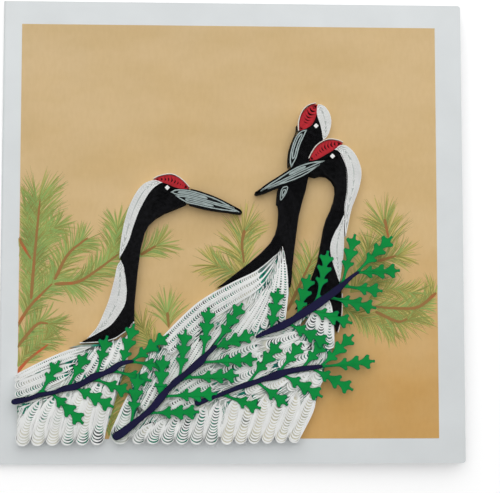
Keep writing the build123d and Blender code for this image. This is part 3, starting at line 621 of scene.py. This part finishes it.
def feather(piece, loop, core_top):
    """A teardrop of combed loops: tight sides, and a row of crescents at the round end."""
    n = len(loop)
    tip = tip_of(loop)
    k = n // 2
    left = [loop[(tip + i) % n] for i in range(k + 1)]
    right = [loop[(tip - i) % n] for i in range(k + 1)]
    middle = [(a + b) / 2 for a, b in zip(left, right)]
    half = [(a - b).length / 2 for a, b in zip(left, right)]
    # The turns make the round end themselves, so the width doesn't shrink towards it.
    half[k - 2:] = [half[k - 2] / END_SHARE] * 3
    spine = Spine(middle, [h + OVERHANG for h in half])
    leftward = spine.at((middle[2] - middle[0]).length)[1]
    sign = 1 if (left[2] - middle[2]).dot(leftward) > 0 else -1
    gap = min(GAP_BASE + GAP_GROWTH * spine.widest, GAP_MOST) * random.uniform(*FEATHER_RANGE)
    thick = (SLIM_THICK if spine.widest < SLIM_HALF else WIDE_THICK) * gap

    def loop_line(begin, stop, share, open_end, lean):
        """One loop: both sides from its start up to a round end."""
        half_there = spine.at(stop - CAP_MEASURED_AT)[2]
        cap = min(CAP_LENGTH * half_there * share, (stop - begin) * CAP_MOST)
        count = max(int((stop - cap - begin) / STATION_RUN), 1 if open_end else FEWEST_STATIONS)
        stations = [(begin + (stop - cap - begin) * j / count, 1) for j in range(count + 1)]
        for j in range(1, CAP_STATIONS + 1):
            turn = math.pi / 2 * j / CAP_STATIONS
            stations.append((stop - cap + cap * math.sin(turn), math.cos(turn)))
        one = []
        two = []
        for place, full in stations:
            point, side, width = spine.at(place)
            width *= share * full
            one.append(point + side * sign * (width + lean * full))
            two.append(point - side * sign * (width - lean * full))
        return (two[:-1] + one[::-1]) if open_end else (one + two[-2:0:-1])

    def thick_end(line, thin):
        """The widths along a loop, which is thicker at its round end."""
        reach = [(q - spine.points[0]).length for q in line]
        far = max(reach)
        return [thin + (thick - thin) * max(0, 1 - (far - r) / THICK_RUN) for r in reach]

    turns = int((spine.widest - CRESCENT_ROOM) / TURN_ROOM)
    for turn in range(max(FEWEST_TURNS, min(MOST_TURNS, turns))):
        share = 1 - (STRIP / 2 + turn * SIDE_PITCH) / spine.widest
        stop = spine.total - STRIP / 2 - turn * gap * random.uniform(*TURN_RANGE)
        lean = random.uniform(-TURN_LEAN, TURN_LEAN) if turn else 0
        line = loop_line(FIRST_START + START_PITCH * turn, stop, share, False, lean)
        high = COIL_TOP - random.uniform(0, TURN_DIP)
        piece.wall(line, thick_end(line, STRIP), COIL_BASE, high, closed=True)
    # The crescents go on inwards from the last turn.
    share -= CRESCENT_INSET / spine.widest
    lean = random.uniform(-CRESCENT_LEAN, CRESCENT_LEAN)
    while stop > spine.total * BARE_SHARE:
        stop -= gap * random.uniform(*CRESCENT_RANGE)
        width = spine.at(stop)[2] * share
        if width < LEAST_HALF:
            break
        line = loop_line(stop - width * CAP_LENGTH - CRESCENT_LEG, stop, share, True, lean)
        high = COIL_TOP - random.uniform(0, CRESCENT_DIP)
        piece.wall(line, thick_end(line, CRESCENT), CORE_TOP, high)
    # The core under the turns carries painted shade, dark and tinted green, where the gaps would
    # be deep.
    piece.slab(shrunk(loop, FEATHER_INSET), COIL_BASE, core_top + CORE_LIFT, mark=1)


# An almond: the points on its sides, its overhang and the share of its length that its two
# tips are at least apart
SIDE_PARTS = 5
SIDE_POINTS = 41
ALMOND_OVERHANG = 0.05
TIPS_APART = 0.6
# Its turns: where there is room for one, how ragged their ends are, how finely one is drawn,
# how it closes and how much lower it may be
ALMOND_STATIONS = 100
LEAST_ROOM = 0.12
FEWEST_WITH_ROOM = 8
RAGGED = 0.6
ALMOND_STEP = 0.3
FEWEST_STEPS = 12
CLOSED_HALF = 0.02
CLOSING = 7
ALMOND_DIP = 0.06


def almond(piece, loop, pitch, most, thick, bulge=0.0, beat=1.0):
    """Nested turns pinched at both ends; where they bulge, neighbouring turns touch."""
    corners = sorted(range(len(loop)), key=lambda i: -sharp(loop, i))
    tip = corners[0]
    reach = max((p - loop[tip]).length for p in loop)
    other = next(i for i in corners if (loop[i] - loop[tip]).length > TIPS_APART * reach)
    one, two = [spaced(catmull(side, SIDE_PARTS), SIDE_POINTS)[::2]
                for side in chains(loop, tip, other)]
    spine = Spine([(a + b) / 2 for a, b in zip(one, two)],
                  [(a - b).length / 2 + ALMOND_OVERHANG for a, b in zip(one, two)])
    stations = [STRIP / 2 + (spine.total - STRIP) * j / ALMOND_STATIONS
                for j in range(ALMOND_STATIONS + 1)]
    for turn in range(most):
        inset = thick / 2 + turn * pitch
        room = [q for q in stations if turn == 0 or spine.at(q)[2] > inset + LEAST_ROOM]
        if len(room) < FEWEST_WITH_ROOM:
            break
        begin = room[0] + (random.uniform(0, RAGGED) if turn else 0)
        stop = room[-1] - (random.uniform(0, RAGGED) if turn else 0)
        count = max(int((stop - begin) / ALMOND_STEP), FEWEST_STEPS)
        near = []
        far = []
        for j in range(count + 1):
            point, side, width = spine.at(begin + (stop - begin) * j / count)
            opened = min(1, math.sin(math.pi * j / count) * CLOSING)
            half = max(width - inset, CLOSED_HALF) * opened
            near.append(point + side * half)
            far.append(point - side * half)
        line = near + far[-2:0:-1]
        phase = random.uniform(0, PHASES)
        widths = []
        for j in range(len(line)):
            wave = math.sin(phase + j * ALMOND_STEP * 2 * math.pi / beat)
            widths.append(thick + bulge * max(wave, 0))
        high = COIL_TOP - random.uniform(0, ALMOND_DIP)
        piece.wall(line, widths, COIL_BASE, high, closed=True)
    return spine


# A crest's crescents: the places across them, their thickness, bend, distances and dip
CREST_ACROSS = [j / 4 - 1 for j in range(9)]
CREST_WIDTHS = [0.58 + 0.25 * abs(across) for across in CREST_ACROSS]
CREST_BEND = 0.6
CREST_START = 0.7
CREST_END = 0.9
CREST_INSET = 0.42
CREST_LEAST_HALF = 0.25
CREST_PITCH = (0.92, 1.05)
CREST_DIP = (0.02, 0.1)


def crest(piece, loop):
    """Two turns round a row of crescents."""
    spine = almond(piece, loop, pitch=0.3, most=2, thick=0.22)
    start = CREST_START
    while start < spine.total - CREST_END:
        half = spine.at(start)[2] - CREST_INSET
        if half > CREST_LEAST_HALF:
            line = []
            for across in CREST_ACROSS:
                point, side, _ = spine.at(start + CREST_BEND * (1 - across * across) * half)
                line.append(point + side * half * across)
            piece.wall(line, CREST_WIDTHS, COIL_BASE, COIL_TOP - random.uniform(*CREST_DIP))
        start += random.uniform(*CREST_PITCH)


RING_SHARES = (0.86, 0.42)
RING_STRIP = 0.27
RING_DIP = 0.03


def rings(piece, loop):
    """Two turns in a short outline."""
    middle = centre(loop)
    for share in RING_SHARES:
        line = [middle + (q - middle) * share for q in rounded(loop)]
        piece.wall(line, [RING_STRIP] * len(line), COIL_BASE, COIL_TOP - RING_DIP, closed=True)


CORE_INSET = 0.1


def coil_node(node, look, painted_shade_look, slot, build, core=0, **settings):
    """The coils of one node, with painted shade as the look of their cores. Unless core is 0,
    each holds a core, whose top lies that deep.
    """
    piece = Piece()
    for loop in outlines(node):
        build(piece, loop, **settings)
        if core:
            piece.slab(shrunk(loop, CORE_INSET), COIL_BASE, COIL_TOP - core, mark=1)
    piece.place("quilled_" + node, [looks[look], looks[painted_shade_look]], slot, [node])


NAPE = dict(core=0.45, pitch=0.33, most=9, thick=0.2, bulge=0.1, beat=0.9)
BEAK = dict(core=1.0, pitch=0.56, most=4, thick=0.32, bulge=0.08, beat=3.2)
CROWN_CORE = 1.0
for node in NODES:
    if "feather" in node:
        coil_node(node, "feather_paper", SOFT.get(node, "coil_shade"), "feather_white", feather,
                  core_top=SOFT_CORE_TOP if node in SOFT else CORE_TOP)
    elif "_nape" in node:
        coil_node(node, "feather_paper", "nape_painted_shade", "feather_white", almond, **NAPE)
    elif node.endswith("_crown"):
        coil_node(node, "red_paper", "red_core_painted_shade", "crown_red", crest, core=CROWN_CORE)
    elif node == "middle_beak_tip":
        coil_node(node, "beak_paper", "beak_core_painted_shade", "beak_grey", rings, core=BEAK["core"])
    elif "_beak" in node and "rim" not in node:
        coil_node(node, "beak_paper", "beak_core_painted_shade", "beak_grey", almond, **BEAK)

# ---------- short strips packed between the feathers
# Their thickness, how they are spread and how they run
PACK_STRIP = 0.2
PACK_ACROSS = 0.48
PACK_UP = 1.4
JITTER_ACROSS = 0.1
JITTER_UP = 0.5
PACK_STEP = 0.55
MOST_POINTS = 6
PACK_GAP = 0.12
# Their heights
PACK_TOP = CORE_TOP - 0.05
PACK_BASE = CORE_TOP - 0.1
PACK_DIP = (0.05, 0.45)
# Small fields beside the printed birds that are packed as well, counter-clockwise
FILLS = [
    [(-29.8, -58.4), (-26.7, -50.8), (-25.8, -45.7), (-23.6, -39.4), (-24.2, -37.1),
     (-27.4, -39.4), (-29.6, -44.8), (-32.8, -49.2), (-31.8, -54.6)],
    [(18.7, -32.3), (21.3, -30.7), (23.2, -28.4), (27.1, -28.4), (29.7, -26.5), (28.4, -23.6),
     (25.8, -24.6), (21.3, -27.5), (16.1, -31.6)],
    [(-52.5, -37.9), (-47.0, -37.8), (-44.5, -37.7), (-40.0, -37.3), (-36.5, -36.9),
     (-35.2, -34.9), (-38.3, -36.0), (-43.3, -36.8), (-48.8, -37.0)],
]
# The white strip along the foot of the left neck
FOOT_ENDS = ((-48.2, -36.6), (-32.2, -30))
FOOT_POINTS = 30
FOOT_REACH = 0.2
FOOT_STRIP = 0.28
FOOT_DIP = 0.05

coils = {node: [framed(loop) for loop in outlines(node)] for node in NODES
         if not node.startswith(("print_", "card_")) and "spray" not in node}
every_coil = sum(coils.values(), [])
# The middle and the direction of each feather
feathers = []
for node in NODES:
    if "feather" in node:
        for loop in outlines(node):
            tip = tip_of(loop)
            end = loop[(tip + len(loop) // 2) % len(loop)]
            feathers.append((centre(loop), end - loop[tip]))


def combed(point):
    """The direction of the feather next to a point."""
    return min(feathers, key=lambda f: (f[0] - point).length)[1].normalized()


def pack(piece, field, inset, margin):
    """Fills a field with a slab of painted shade and short strips that follow the feathers and
    keep off coils.
    """
    loop, low, high = framed(field)
    piece.slab(shrunk(field, inset), COIL_BASE, PACK_TOP, mark=1)
    y = low.y
    while y < high.y:
        x = low.x
        while x < high.x:
            point = Vector((x + random.uniform(-JITTER_ACROSS, JITTER_ACROSS),
                            y + random.uniform(-JITTER_UP, JITTER_UP)))
            line = []
            while (len(line) < MOST_POINTS and inside(point, loop)
                   and not near_edge(point, loop, margin)
                   and not crowded(point, every_coil, PACK_GAP)):
                line.append(point)
                point = point + combed(point) * PACK_STEP
            if len(line) >= FEWEST_POINTS:
                piece.wall(line, [PACK_STRIP] * len(line), PACK_BASE,
                           COIL_TOP - random.uniform(*PACK_DIP))
            x += PACK_ACROSS
        y += PACK_UP


curls = Piece()
for field in outlines("print_birds"):
    pack(curls, field, inset=1.3, margin=0.4)
for fill in FILLS:
    pack(curls, [Vector(q) for q in fill], inset=0.05, margin=0.1)
loop = swell(outlines("left_neck")[0], FOOT_REACH)
sides = chains(loop, *[nearest(loop, *end) for end in FOOT_ENDS])
lower = min(sides, key=lambda side: sum(q.y for q in side) / len(side))
curls.wall(spaced(lower, FOOT_POINTS), [FOOT_STRIP] * FOOT_POINTS, COIL_BASE,
           COIL_TOP - FOOT_DIP)
# The slabs carry painted shade, dark and tinted green, between the strips.
curls.place("quilled_packed_strips", [looks["feather_paper"], looks["coil_shade_packed"]],
            "feather_white")

# ---------- dark print just outside the coloured coils
# The thickness of a bare strip in the CAD, then the print's reach and heights
CAD_RIM = 0.45
DARK_REACH = 0.25
DARK_BASE = 0.105
DARK_TOP = 0.125
DARK_RISE = 0.002
RISE_POINTS = 5000
BEAK_FIELD_TOP = 0.135


def rim_line(loop):
    """The middle line of a bare strip, from its outline."""
    n = len(loop)
    ends = sorted(range(n), key=lambda k: abs((loop[k] - loop[(k + 1) % n]).length - CAD_RIM))
    i, j = ends[:2]
    one = [loop[(i + 1 + k) % n] for k in range((j - i) % n)]
    two = [loop[(i - k) % n] for k in range((i - j) % n)]
    return [(a + b) / 2 for a, b in zip(one, two)]


dark = Piece()
for node in NODES:
    if node.endswith(("_crown", "_neck", "_head")) or ("_beak" in node and "rim" not in node):
        for loop in outlines(node):
            # Each one is a little higher than the last, so that no two tops share a plane.
            rise = DARK_RISE * len(dark.points) / RISE_POINTS
            dark.slab(swell(loop, DARK_REACH), DARK_BASE, DARK_TOP + rise)
for node in ("left_beak_rim", "right_beak_rim"):
    for loop in outlines(node):
        dark.slab(rim_line(loop), DARK_BASE, BEAK_FIELD_TOP)
dark.place("print_dark_outlines", [looks["dark_ink"]], "neck_black")

# ---------- black necks
# Their ribs: how they lie side by side, how thick they are and how they wave
NECK_CORE_TOP = COIL_TOP - 0.5
NECK_PARTS = 4
NECK_POINTS = 90
RIB_PITCH = 0.5
FEWEST_RIBS = 3
EDGE_SHARE = 0.25
RIB_MOST = 0.26
RIB_LEAST = 0.01
RIB_SHARE = 0.5
RIB_WAVE = 0.35
RIB_DIP = 0.12
RIB_GAP = 0.1
# Where each outline is pinched, at its upper and its lower end
NECK_ENDS = {
    "left_neck": ((-15.5, 9), (-49, -36.4)),
    "middle_head": ((27.1, 38.6), (19.0, 20.6)),
    "middle_neck": ((23, 17), (-5.3, -18.7)),
    "right_neck": ((25, 19), (21, -25)),
}
for node, ends in NECK_ENDS.items():
    piece = Piece()
    others = sum([loops for other, loops in coils.items() if other != node], [])
    for loop in outlines(node):
        # The core under the ribs is darker than their paper: painted shade between them.
        piece.slab(loop, COIL_BASE, NECK_CORE_TOP, mark=1)
        one, two = [spaced(catmull(side, NECK_PARTS), NECK_POINTS)
                    for side in chains(loop, *[nearest(loop, *end) for end in ends])]
        across = [(a - b).length for a, b in zip(one, two)]
        count = max(int(max(across) / RIB_PITCH), FEWEST_RIBS)
        for rib in range(count + 1):
            share = (rib + EDGE_SHARE) / (count + 2 * EDGE_SHARE)
            line = [a.lerp(b, share) for a, b in zip(one, two)]
            phase = random.uniform(0, PHASES)
            widths = []
            for j, width in enumerate(across):
                wave = 1 + RIB_WAVE * math.sin(phase + j)
                widths.append(min(RIB_MOST, RIB_SHARE * width / count) * wave + RIB_LEAST)
            high = COIL_TOP - random.uniform(0, RIB_DIP)
            # A rib stops where another coil lies, and goes on behind it.
            run = []
            for k in range(1, len(line)):
                if k < len(line) - 1 and not crowded(line[k], others, RIB_GAP):
                    run.append(k)
                else:
                    if len(run) >= FEWEST_POINTS:
                        piece.wall([line[m] for m in run], [widths[m] for m in run],
                                   CORE_TOP, high)
                    run = []
    piece.place("quilled_" + node, [looks["black_paper"], looks["black_painted_shade"]],
                "neck_black", [node])

# ---------- rims and eyes
RIM_STRIP = 0.26
RIM_PARTS = 5
EYE = 0.28
EYE_CORNER = 0.1
for node in NODES:
    if node.endswith("_rim"):
        look, slot = (("black_paper", "neck_black") if "beak" in node
                      else ("rim_paper", "strip_white"))
        piece = Piece()
        for loop in outlines(node):
            line = catmull(rim_line(loop), RIM_PARTS)
            piece.wall(line, [RIM_STRIP] * len(line), COIL_BASE, COIL_TOP)
        piece.place("strip_" + node, [looks[look]], slot, [node])
    if node.endswith("_eye"):
        piece = Piece()
        piece.slab(rounded(outlines(node)[0], keep=EYE_CORNER), COIL_TOP, COIL_TOP + EYE)
        piece.place("paper_" + node, [looks["eye_paper"]], "eye_white", [node])

# ---------- die-cut sprays
# The bevel round each sheet takes a darker colour: painted shade along the edge
BEVEL_HEIGHT = 0.05
LEAF_BEVEL = 0.13
STEM_BEVEL = 0.2
SHEET_CORNER = 0.25
# A lobe's corner: how sharp it is, and the moves that make a blunt finger of it
LOBE_SHARP = 0.05
EVEN_ARMS = 1.5
LONG_ARM = 2.0
WAIST_AT = 0.5
WAIST = 0.16
BELLY = -0.04
BLUNT_AT = 0.34
BLUNT = 0.44
EVEN_BLUNT = 0.5
# A notch: how straight and long it may be, and how it is rounded
NOTCH_SHARP = -0.75
LONGEST_NOTCH = 2.6
NOTCH_DEPTH = 0.1
NOTCH_HALF = 0.14


def lobed(loop):
    """A sheet's outline with blunt fingers for its lobes and round notches between them."""
    result = []
    n = len(loop)
    for i in range(n):
        before, point, after = loop[i - 1], loop[i], loop[(i + 1) % n]
        back = before - point
        ahead = after - point
        a = back.normalized()
        b = ahead.normalized()
        convex = back.x * ahead.y - back.y * ahead.x < 0
        fold = a.dot(b)
        short = min(back.length, ahead.length)
        if convex and fold > LOBE_SHARP:
            even = max(back.length, ahead.length) < EVEN_ARMS * short
            for arm, turned in ((back, 1), (ahead, -1)):
                run = arm.normalized()
                outward = Vector((-run.y, run.x)) * turned
                waist = WAIST if arm.length > LONG_ARM and not even else BELLY
                pulled = point + arm * WAIST_AT - outward * waist
                blunt = point + run * BLUNT_AT + outward * (EVEN_BLUNT if even else BLUNT)
                result += [pulled, blunt] if turned > 0 else [blunt, pulled]
        elif not convex and fold > NOTCH_SHARP and short < LONGEST_NOTCH:
            bottom = point + (a + b).normalized() * NOTCH_DEPTH
            side = (b - a).normalized() * NOTCH_HALF
            result += [bottom - side, bottom + side]
        else:
            result.append(point)
    return result


def sheet(node, shape, times, kind, slot, low, high, bevel):
    """A flat sheet whose top face is lifted inside a narrow bevel of painted shade."""
    piece = Piece()
    for loop in outlines(node):
        piece.slab(rounded(shape(loop), times, SHEET_CORNER), low, high - BEVEL_HEIGHT)
    obj = piece.place("paper_" + node, [looks[kind + "_paper"], looks[kind + "_edge"]], slot,
                      [node])
    bm = bmesh.new()
    bm.from_mesh(obj.data)
    top = [f for f in bm.faces if f.normal.dot(OUT) > FACING]
    result = bmesh.ops.inset_region(bm, faces=top, thickness=bevel / PER_METRE,
                                    depth=BEVEL_HEIGHT / PER_METRE, use_even_offset=False)
    # The bevel's faces carry the darker colour: painted shade along the edge.
    for face in result["faces"]:
        face.material_index = 1
    bm.to_mesh(obj.data)
    bm.free()


# How many leaves lie under each spray
LEVELS = {"left_spray": 0, "centre_spray": 2, "upper_spray": 1, "lower_spray": 0}
for spray, level in LEVELS.items():
    base = COIL_TOP + level * LEAF
    top = base + LEAF
    sheet(spray + "_leaves", lobed, 3, "leaf", "leaf_green", base, top, LEAF_BEVEL)
    sheet(spray + "_stem", curved, 2, "stem", "stem_navy", top, top + STEM, STEM_BEVEL)

# ---------- printed needles and twigs
NEEDLE_STEPS = 5
NEEDLE_TAPER = 0.7
# Shares of a branch's needle length, and the widths of the three kinds of stroke
REACH = (0.7, 1.05)
WASH_CHANCE = 0.5
WASH_REACH = 0.9
WASH_WIDTH = (0.7, 1.1)
# A branch less green than this has yellow washes
YELLOW_BELOW = 0.5
GREEN_REACH = (0.7, 1.0)
GREEN_WIDTH = (0.2, 0.36)
OLIVE_TURN = 0.04
OLIVE_WIDTH = (0.11, 0.17)
# How tufts stand along a branch, in radians from it, and at its end
BRANCH_PARTS = 6
TUFTS_PER_MM = 3.4
TUFT_TURN = (0.3, 0.75)
TUFT_BEND = (0.15, 0.65)
END_TUFTS = 16
END_TURN = 0.6
END_BEND = 0.5
TWIG_TOP = 0.13
# Each branch: its line, the needles' length, how closely they stand (1 is full) and how green
# they are
BRANCHES = [
    ([(-64.6, -12), (-63.6, -3), (-63.4, 8)], 13, 1.0, 0.8),
    ([(-64.6, -10), (-66, -3), (-67, 6)], 11, 0.9, 0.6),
    ([(-62.8, -3), (-60.5, -1), (-58, 0.5)], 8, 0.9, 0.8),
    ([(-69.0, -2.5), (-65.2, -9.5)], 8, 1.0, 0.6),
    ([(-67, -28), (-65, -22.5), (-64.6, -12)], 9, 1.0, 0.8),
    ([(-63, -22), (-57.6, -16.2), (-53.5, -7.5), (-50, -4.5)], 9, 1.0, 0.7),
    ([(-56, -17.5), (-50, -17.2), (-43, -12.3), (-38, -8.2)], 9, 1.0, 0.7),
    ([(-40, -9.5), (-38.2, -4), (-37.6, 0)], 9, 0.9, 0.7),
    ([(-69.0, -37.8), (-62.8, -29.8), (-59.5, -30.2)], 8, 1.0, 0.7),
    ([(-69.0, -44), (-65.5, -39.5), (-60.5, -35.5)], 8, 1.0, 0.6),
    ([(-31, -8.6), (-28, -6.6), (-25, -5)], 9, 0.75, 0.6),
    ([(3.4, -12.5), (2.2, -7), (3.2, -1)], 11, 1.0, 0.25),
    ([(4, -14.5), (0, -13.5), (-5, -11.5)], 9, 0.9, 0.25),
    ([(-20.8, -31.5), (-21.3, -27.5)], 10, 0.9, 0.6),
    ([(-23, -40), (-27, -36), (-29, -32)], 8, 0.8, 0.25),
    ([(45.5, -24.5), (50, -25), (60, -25.3), (66, -20)], 9, 1.0, 0.4),
    ([(44, -22), (50, -19), (58, -20)], 7, 0.8, 0.25),
    ([(46, -26.2), (53.5, -29.8), (57.5, -28.5)], 9, 1.0, 0.25),
    ([(35, -25), (42, -28), (49, -31)], 8, 0.8, 0.25),
    ([(50.8, -6), (50.3, -1), (49.4, 1.5)], 11, 1.0, 0.35),
    ([(40, -11.5), (47, -9.8), (53, -8)], 9, 0.9, 0.25),
    ([(42.4, -13), (43.4, -9), (44, -6)], 8, 0.9, 0.3),
    ([(19, -24), (23, -15), (25, -10.5)], 9, 0.9, 0.25),
    ([(38, -20), (41, -17), (45, -17)], 8, 0.8, 0.3),
    ([(-39.8, -66), (-38.4, -57), (-36.4, -48)], 5, 1.0, 0.3),
]
# What the needles are drawn in, with the lowest and highest top of a stroke
WASH = (Piece(), 0.053, 0.058)
STROKE = (Piece(), 0.062, 0.088)


def needle(kind, start, heading, bend, reach, widest, mark):
    """One curved stroke, cut off where the printed field ends."""
    line = [start]
    for j in range(NEEDLE_STEPS):
        turn = heading + bend * (j + 0.5) / NEEDLE_STEPS
        step = line[-1] + Vector((math.cos(turn), math.sin(turn))) * reach / NEEDLE_STEPS
        if not (PRINT_LOW.x < step.x < PRINT_HIGH.x and PRINT_LOW.y < step.y < PRINT_HIGH.y):
            break
        line.append(step)
    if len(line) < FEWEST_POINTS:
        return
    last = len(line) - 1
    widths = [widest * (1 - NEEDLE_TAPER * (j / last) ** 2) for j in range(len(line))]
    piece, lowest, highest = kind
    piece.wall(line, widths, SAND_TOP, random.uniform(lowest, highest), mark=mark)


def tuft(start, heading, bend, length, green):
    """A needle: now and then a pale wash and a green stroke, and always a fine olive one."""
    reach = length * random.uniform(*REACH)
    if random.random() < WASH_CHANCE:
        needle(WASH, start, heading, bend, reach * WASH_REACH, random.uniform(*WASH_WIDTH),
               int(green < YELLOW_BELOW))
    if random.random() < green:
        needle(STROKE, start, heading, bend, reach * random.uniform(*GREEN_REACH),
               random.uniform(*GREEN_WIDTH), 0)
    needle(STROKE, start, heading + random.uniform(-OLIVE_TURN, OLIVE_TURN), bend, reach,
           random.uniform(*OLIVE_WIDTH), 1)


for points, length, fullness, green in BRANCHES:
    line = catmull([Vector(q) for q in points], BRANCH_PARTS)
    total = sum((b - a).length for a, b in zip(line, line[1:]))
    line = spaced(line, max(int(total * TUFTS_PER_MM * fullness), FEWEST_POINTS))
    for j, point in enumerate(line):
        run = line[min(j + 1, len(line) - 1)] - line[max(j - 1, 0)]
        course = math.atan2(run.y, run.x)
        for hand in (1, -1):
            tuft(point, course + hand * random.uniform(*TUFT_TURN),
                 hand * random.uniform(*TUFT_BEND), length, green)
    for _ in range(int(END_TUFTS * fullness)):
        lean = random.uniform(-END_TURN, END_TURN)
        tuft(line[-1], course + lean, lean * END_BEND, length, green)
WASH[0].place("print_needle_wash", [looks["needle_wash"], looks["yellow_wash"]], "print_green")
STROKE[0].place("print_needle_strokes", [looks["needle_ink"], looks["needle_olive"]],
                "print_green", ["print_needles"])

twigs = Piece()
for loop in outlines("print_twigs"):
    twigs.slab(rounded(loop), TWIG_BASE, TWIG_TOP)
twigs.place("print_twig_strokes", [looks["twig_ink"]], "print_brown", ["print_twigs"])

# ---------- studio
FLOOR_HALF = 3
FLOOR_HEIGHT = -0.0002
WHITE = (1, 1, 1, 1)
AMBIENT = 0.36


def shown(tree):
    """1 for the rays that show the background and 0 for the light that it gives."""
    rays = tree.nodes.new("ShaderNodeLightPath").outputs
    seen = maths(tree, "ADD", rays["Is Camera Ray"], rays["Is Glossy Ray"])
    return maths(tree, "ADD", seen, rays["Is Transmission Ray"], clamp=True)


def white_floor():
    """Near white, lifted to white, and more so where the lamps no longer reach it."""
    material, tree, bsdf = shader("floor_white")
    grey = blend(tree, noise(tree, scale=3.0), [(0.4, [0.86] * 3), (0.6, [0.88] * 3)])
    tree.links.new(grey, bsdf.inputs["Base Color"])
    bsdf.inputs["Roughness"].default_value = 0.9
    bsdf.inputs["Specular IOR Level"].default_value = 0.1
    bsdf.inputs["Emission Color"].default_value = WHITE
    reach = tree.nodes.new("ShaderNodeVectorMath")
    reach.operation = "LENGTH"
    tree.links.new(place_on(tree), reach.inputs[0])
    far = tree.nodes.new("ShaderNodeMapRange")
    for name, value in (("From Min", 0.2), ("From Max", 1.1), ("To Min", 0.3), ("To Max", 0.66)):
        far.inputs[name].default_value = value
    tree.links.new(reach.outputs["Value"], far.inputs["Value"])
    lift = maths(tree, "MULTIPLY", far.outputs["Result"], shown(tree))
    tree.links.new(lift, bsdf.inputs["Emission Strength"])
    return material


def area_light(name, location, size, power):
    """A round lamp that looks at the middle of the card."""
    data = bpy.data.lights.new(name, "AREA")
    data.shape = "DISK"
    data.size = size
    data.energy = power
    obj = new_object(name, data)
    obj.location = location
    obj.rotation_euler = (-Vector(location)).to_track_quat("-Z", "Y").to_euler()


floor_mesh = bpy.data.meshes.new("floor")
corners = [(x * FLOOR_HALF, y * FLOOR_HALF, FLOOR_HEIGHT)
           for x, y in ((-1, -1), (1, -1), (1, 1), (-1, 1))]
floor_mesh.from_pydata(corners, [], [(0, 1, 2, 3)])
floor_mesh.materials.append(white_floor())
floor = new_object("floor", floor_mesh)

area_light("key", (0.04, 0.42, 0.52), size=1.2, power=4.6)
area_light("fill", (-0.7, -0.1, 1.1), size=0.9, power=1.2)

world = bpy.data.worlds.new("studio")
scene.world = world
world.use_nodes = True
sky = world.node_tree
background = sky.nodes["Background"]
background.inputs["Color"].default_value = WHITE
glow = maths(sky, "MULTIPLY_ADD", shown(sky), 1 - AMBIENT, AMBIENT)
sky.links.new(glow, background.inputs["Strength"])
scene.view_settings.view_transform = "Standard"

# ---------- camera
SENSOR = 36
PICTURE_PIXELS = 500
FOCAL_PIXELS = 1500
CAMERA_AT = (-0.027, -0.0472, 0.4867)
# Degrees that the card is turned in the picture, about Z, Y and X
CARD_TURNS = ((-0.32, "Z"), (3.81, "Y"), (-4.97, "X"))

camera_data = bpy.data.cameras.new("camera")
camera_data.sensor_fit = "HORIZONTAL"
camera_data.sensor_width = SENSOR
camera_data.lens = SENSOR * FOCAL_PIXELS / PICTURE_PIXELS
camera_data.clip_start = 0.05
camera_data.clip_end = 20
camera = new_object("camera", camera_data)
about_z, about_y, about_x = [Matrix.Rotation(math.radians(turn), 3, axis)
                             for turn, axis in CARD_TURNS]
view = about_z @ about_y @ about_x
camera.matrix_world = Matrix.Translation(CAMERA_AT) @ view.transposed().to_4x4()
scene.camera = camera
